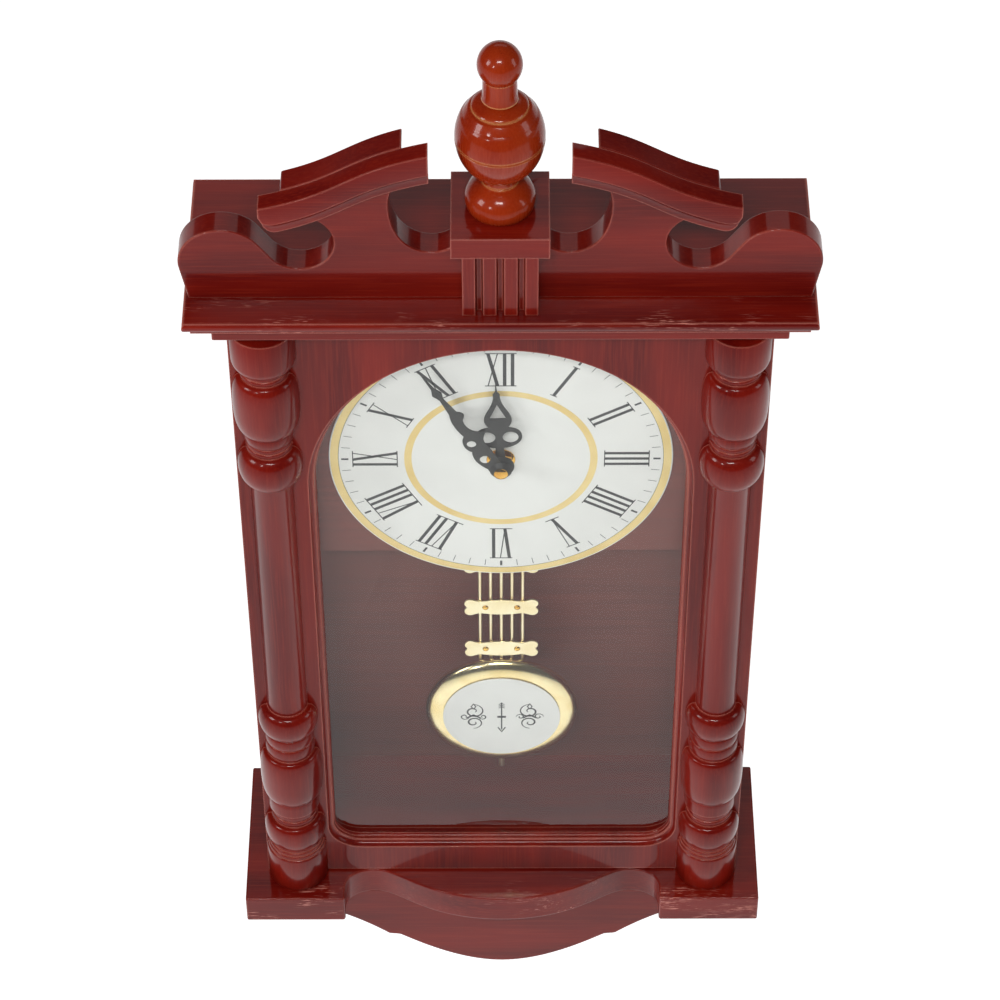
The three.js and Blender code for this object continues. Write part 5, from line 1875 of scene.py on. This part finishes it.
@dataclass
class Movement:
    """The quartz movement behind the dial."""

    def build(self) -> None:
        """Builds the housing, its cover, what they hold and the setting knob."""
        refine("movement_housing", BLACK_PLASTIC, 0.3 * MM)
        refine("movement_cover", BLACK_PLASTIC, 0.3 * MM)
        refine("circuit_board", SOLDER_MASK, 0.1 * MM)
        refine("motor_coil", COPPER, 0.1 * MM)
        refine("setting_knob", GEAR_PLASTIC, 0.1 * MM)
        low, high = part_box("battery")
        radius = (high.z - low.z) / 2
        centre = Vector((0, (low.y + high.y) / 2, (low.z + high.z) / 2))
        nub = 2.7 * MM
        shoulder = high.x - 1.4 * MM
        profile = rounded_end(radius, low.x, 0.8 * MM, -1)
        profile += [(radius, shoulder - 0.8 * MM)]
        profile += rounded_end(radius, shoulder, 0.8 * MM, 1)[:0:-1]
        edge = 0.3 * MM
        profile += [(nub, shoulder), (nub, high.x - edge), (nub - edge, high.x), (0.0, high.x)]
        mesh = turning("battery_cell", profile, Axis.X, centre, 64)
        dress("battery_cell", mesh, CELL_JACKET, "battery")


# ------------------------------------------------------------------------------ pendulum


@dataclass
class Pendulum:
    """The grid-rod pendulum: lever, hanger, rods, crossbars with rivets, bob and disc."""

    rod_count: int = 5
    bar_count: int = 3
    rivet: float = 1.9 * MM
    rivet_place: float = 9.4 * MM

    def bone(self, width: float, height: float) -> list[Point]:
        """Gives a crossbar's bone-shaped outline about its own centre.

        Args:
            width: Overall width.
            height: Overall height.

        Returns:
            The outline.
        """
        lobe = height * 0.26
        x, z = width / 2 - lobe, height / 2 - lobe
        waist, neck = height * 0.36, width / 2 - height * 0.26 * 2.6
        crown = height * 0.46
        top = [(0.0, crown)]
        dip = (neck * 0.75, (crown + waist) / 2)
        top += cubic(top[-1], (neck * 0.4, crown), dip, (neck, waist), 12)
        top += arc(x, z, lobe, math.pi * 0.7, -math.pi * 0.28, 18)
        bottom = [(px, -pz) for px, pz in reversed(top)]
        return mirrored(top + bottom)

    def build_bars(self) -> None:
        """Builds the crossbars and the rivets that hold the rods."""
        for i in range(1, self.bar_count + 1):
            node = f"pendulum_crossbar_{i}"
            low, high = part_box(node)
            mid = (low.z + high.z) / 2
            outline = [(x, z + mid) for x, z in self.bone(high.x - low.x, high.z - low.z)]
            mesh = plate(f"{node}_stamped", outline, low.y, high.y)
            dress(f"{node}_stamped", mesh, PALE_GOLD, node, 0.18 * MM)
            heads = []
            for sign in (-1, 1):
                turns = angles(0, 90, 8)
                dome = [(self.rivet * math.cos(a), -0.9 * MM * math.sin(a)) for a in turns]
                spot = Vector((sign * self.rivet_place, low.y, mid))
                profile = [(0.0, 0.0), *dome[:-1], (0.0, -0.9 * MM)]
                heads.append(turning("rivet", profile, Axis.Y, spot, FINE))
            name = f"crossbar_{i}_rivets"
            dress(name, merged(name, heads), BRASS, node, 0.0, stands_in=False)

    def build_rods(self) -> None:
        """Builds the rods; the middle one carries on as the tail below the bob."""
        for i in range(1, self.rod_count + 1):
            node = f"pendulum_rod_{i}"
            low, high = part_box(node)
            radius = 1.05 * MM
            centre = Vector(((low.x + high.x) / 2, (low.y + high.y) / 2, 0))
            foot = (high.x - low.x) / 2
            profile = rounded_end(max(foot, radius), low.z, 0.4 * MM, -1)
            if foot > radius * 1.4:
                sleeve = low.z + 10 * MM
                profile += [(foot, sleeve - 0.3 * MM), (foot - 0.3 * MM, sleeve), (radius, sleeve)]
            profile += rounded_end(radius, high.z, 0.3 * MM, 1)[:0:-1] + [(0.0, high.z)]
            mesh = turning(f"{node}_drawn", profile, Axis.Z, centre, FINE)
            dress(f"{node}_drawn", mesh, PALE_GOLD, node)

    def build_bob(self) -> None:
        """Builds the spun bob with its rolled rim, and the printed disc on it."""
        low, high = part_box("bob_shell")
        disc_low, disc_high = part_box("bob_disc")
        radius, deep = (high.x - low.x) / 2, high.y - low.y
        centre = Vector(((low.x + high.x) / 2, high.y, (low.z + high.z) / 2))
        seat = (disc_high.x - disc_low.x) / 2 + 1.0 * MM
        wall = 0.8 * MM
        front = [
            (seat + (radius - seat) * math.cos(a), -1.3 * MM - (deep - 1.3 * MM) * math.sin(a))
            for a in angles(0, 90, 20)
        ]
        inside = [(r - wall * 0.8, y + wall) for r, y in reversed(front)]
        profile = [(0.0, -deep), *reversed(front), (radius, -0.4 * MM), (radius - 0.2 * MM, 0.0)]
        profile += [(radius - wall, 0.0), *reversed(inside), (0.0, wall - deep)]
        mesh = turning("bob_shell_spun", profile, Axis.Y, centre, ROUND * 2)
        dress("bob_shell_spun", mesh, BOB_BRASS, "bob_shell")
        edge = seat - 1.0 * MM
        thick = disc_high.y - disc_low.y
        face = [(0.0, thick), (edge, thick), (edge, 0.15 * MM), (edge - 0.15 * MM, 0.0), (0.0, 0.0)]
        front = Vector((centre.x, disc_low.y, centre.z))
        disc = turning("bob_disc_printed", face, Axis.Y, front, ROUND * 2)
        dress("bob_disc_printed", disc, DIAL_WHITE, "bob_disc")
        self.build_ornament(Vector((centre.x, disc_low.y, centre.z)))

    def scroll(self, cx: float, cz: float, size: float, turns: float, start: float) -> list[Point]:
        """Gives a spiral scroll.

        Args:
            cx: Centre's distance from the disc's centre, in millimetres.
            cz: Centre's height above the disc's centre, in millimetres.
            size: Outer radius in millimetres.
            turns: Turns from the outside in; negative turns the other way.
            start: Angle of the outer end in degrees.

        Returns:
            Points along the spiral.
        """
        steps = 26
        points = []
        for i in range(steps + 1):
            t = i / steps
            a = math.radians(start) + math.tau * turns * t
            r = size * (1 - 0.82 * t)
            points.append((cx + r * math.cos(a), cz + r * math.sin(a)))
        return points

    def ribbon(self, centre: Vector, line: Sequence[Point], width: float) -> bpy.types.Mesh:
        """Prints a line of even width that tapers at its ends.

        Args:
            centre: Centre of the disc's face.
            line: Points in millimetres from that centre.
            width: Width in millimetres.

        Returns:
            The mesh.
        """
        left, right = [], []
        for i, (x, z) in enumerate(line):
            x0, z0 = line[max(i - 1, 0)]
            x1, z1 = line[min(i + 1, len(line) - 1)]
            length = math.hypot(x1 - x0, z1 - z0) or 1.0
            nx, nz = -(z1 - z0) / length, (x1 - x0) / length
            ease = 0.35 + 0.65 * math.sin(math.pi * min(1.0, (i + 0.5) / len(line)))
            half = width / 2 * ease
            left.append((x + nx * half, z + nz * half))
            right.append((x - nx * half, z - nz * half))
        outline = [(centre.x + x * MM, centre.z + z * MM) for x, z in left + right[::-1]]
        return plate("ribbon", outline, centre.y - 0.04 * MM, centre.y)

    def build_ornament(self, centre: Vector) -> None:
        """Prints a plain spindle between two sprays of scrolls on the disc.

        Args:
            centre: Centre of the disc's face.
        """
        lines = [([(0, 13.5), (0, -12)], 1.0), ([(-2.6, 0), (2.6, 0)], 2.2)]
        lines += [([(-1.8, z), (0, z + 1.6), (1.8, z)], 0.7) for z in (8.2, 9.8, 11.4)]
        lines += [([(-2.2, -10), (0, -14.2), (2.2, -10)], 1.3)]
        for sign in (-1, 1):
            x = sign * 17.0
            lines.append((self.scroll(x, 5.2, 6.6, sign * 1.35, 90), 1.1))
            lines.append((self.scroll(x, -5.4, 5.6, -sign * 1.35, -90), 1.1))
            lines.append((self.scroll(x + sign * 5.4, 0.2, 3.0, sign * 1.2, 0), 0.8))
            lines.append((self.scroll(x - sign * 5.6, 0.0, 2.6, -sign * 1.2, 180), 0.8))
            lines.append(([(x, 12.4), (x - 1.4, 9.6), (x, 7.4), (x + 1.4, 9.6), (x, 12.4)], 0.9))
            lines.append(([(x - 4.4, -1.2), (x, 1.6), (x + 4.4, -1.2)], 1.6))
        ink = [self.ribbon(centre, line, width) for line, width in lines]
        dress("bob_ornament", merged("bob_ornament", ink), DIAL_INK, "bob_disc", 0.0, False)

    def build(self) -> None:
        """Builds the whole pendulum."""
        refine("pendulum_lever", BLACK_PLASTIC, 0.15 * MM)
        refine("pendulum_hanger", PALE_GOLD, 0.15 * MM)
        self.build_rods()
        self.build_bars()
        self.build_bob()


# ------------------------------------------------------------------------------ stage


@dataclass
class Stage:
    """The pale sweep, the soft studio lights and the camera."""

    floor_drop: float = 1.35
    floor_half: float = 7.0
    eye: tuple[float, float, float] = (0.00085, -1.4578, 1.3588)
    pitch: float = 47.165  # degrees below level
    yaw: float = -0.058
    roll: float = -0.176
    lens: float = 131.37

    def build_floor(self) -> None:
        """Builds the floor as one gently curved sweep that rises far behind the clock."""
        columns = []
        for i in range(41):
            t = i / 40
            y = -self.floor_half + 2 * self.floor_half * t
            rise = 2.6 * max(0.0, (t - 0.72) / 0.28) ** 2
            z = rise - self.floor_drop
            columns.append([Vector((x, y, z)) for x in (-self.floor_half, self.floor_half)])
        points = [p for pair in columns for p in pair]
        faces = [[2 * i, 2 * i + 1, 2 * i + 3, 2 * i + 2] for i in range(len(columns) - 1)]
        mesh = from_faces("floor_sweep", points, faces)
        mesh.materials.append(PaperSweep("paper_matt_white").build())
        floor = bpy.data.objects.new("floor_sweep", mesh)
        bpy.context.scene.collection.objects.link(floor)

    def light(
        self, name: str, spot: Sequence[float], size: Sequence[float], power: float
    ) -> None:
        """Adds a soft box that faces the clock.

        Args:
            name: Name of the light.
            spot: Its place in metres.
            size: Width and height in metres.
            power: Power in watts.
        """
        data = bpy.data.lights.new(name, "AREA")
        data.shape = "RECTANGLE"
        data.size, data.size_y = size
        data.energy = power
        obj = bpy.data.objects.new(name, data)
        bpy.context.scene.collection.objects.link(obj)
        obj.location = spot
        aim = Vector((0, -0.05, -0.2)) - Vector(spot)
        obj.rotation_euler = aim.to_track_quat("-Z", "Y").to_euler()

    def build_lights(self) -> None:
        """Adds the key, two side boxes, a back box, a small lamp and the room's glow."""
        self.light("key_strip", (-0.1, -1.9, 1.95), (0.95, 0.32), 40)
        self.light("left_box", (-1.9, -0.9, 0.9), (0.6, 0.8), 20)
        self.light("small_lamp", (-0.95, -1.6, 0.75), (0.22, 0.22), 5)
        self.light("back_box", (0.1, 1.5, 1.4), (1.5, 0.5), 2.5)
        self.light("right_box", (2.3, -0.5, 0.6), (0.7, 1.2), 10)
        world = bpy.data.worlds.new("studio_air")
        world.use_nodes = True
        background = world.node_tree.nodes["Background"]
        background.inputs["Color"].default_value = linear("#f4f5f7")
        background.inputs["Strength"].default_value = 0.05
        bpy.context.scene.world = world
        bpy.context.scene.view_settings.view_transform = "Standard"

    def build_camera(self) -> None:
        """Places the camera where it looks down on the clock from in front."""
        pitch, yaw, roll = (math.radians(v) for v in (self.pitch, self.yaw, self.roll))
        level = Vector((math.sin(yaw), math.cos(yaw), 0))
        ahead = level * math.cos(pitch) - Vector((0, 0, math.sin(pitch)))
        over = Vector((0, 0, math.cos(pitch))) + level * math.sin(pitch)
        aside = ahead.cross(over)
        right = aside * math.cos(roll) + over * math.sin(roll)
        up = over * math.cos(roll) - aside * math.sin(roll)
        data = bpy.data.cameras.new("studio_camera")
        data.lens = self.lens
        data.sensor_width = 36
        data.clip_end = 50
        camera = bpy.data.objects.new("studio_camera", data)
        bpy.context.scene.collection.objects.link(camera)
        axes = Matrix((right, up, -ahead)).transposed().to_4x4()
        camera.matrix_world = Matrix.Translation(self.eye) @ axes
        bpy.context.scene.camera = camera

    def build(self) -> None:
        """Builds the stage."""
        self.build_camera()
        self.build_floor()
        self.build_lights()


def main() -> None:
    """Builds the stage and every sub-assembly in order."""
    logging.basicConfig(level=logging.INFO, format="%(name)s: %(message)s")
    first = (Stage(), Case(), Pediment(), Door(), Hardware())
    for part in (*first, Dial(), Hands(), Movement(), Pendulum()):
        LOG.info("building the %s", type(part).__name__.lower())
        part.build()
    shown = {n for n, o in frame["nodes"].items() if not o.hide_render}
    LOG.info("CAD nodes shown as they are: %s", sorted(shown))


if __name__ == "__main__":
    main()
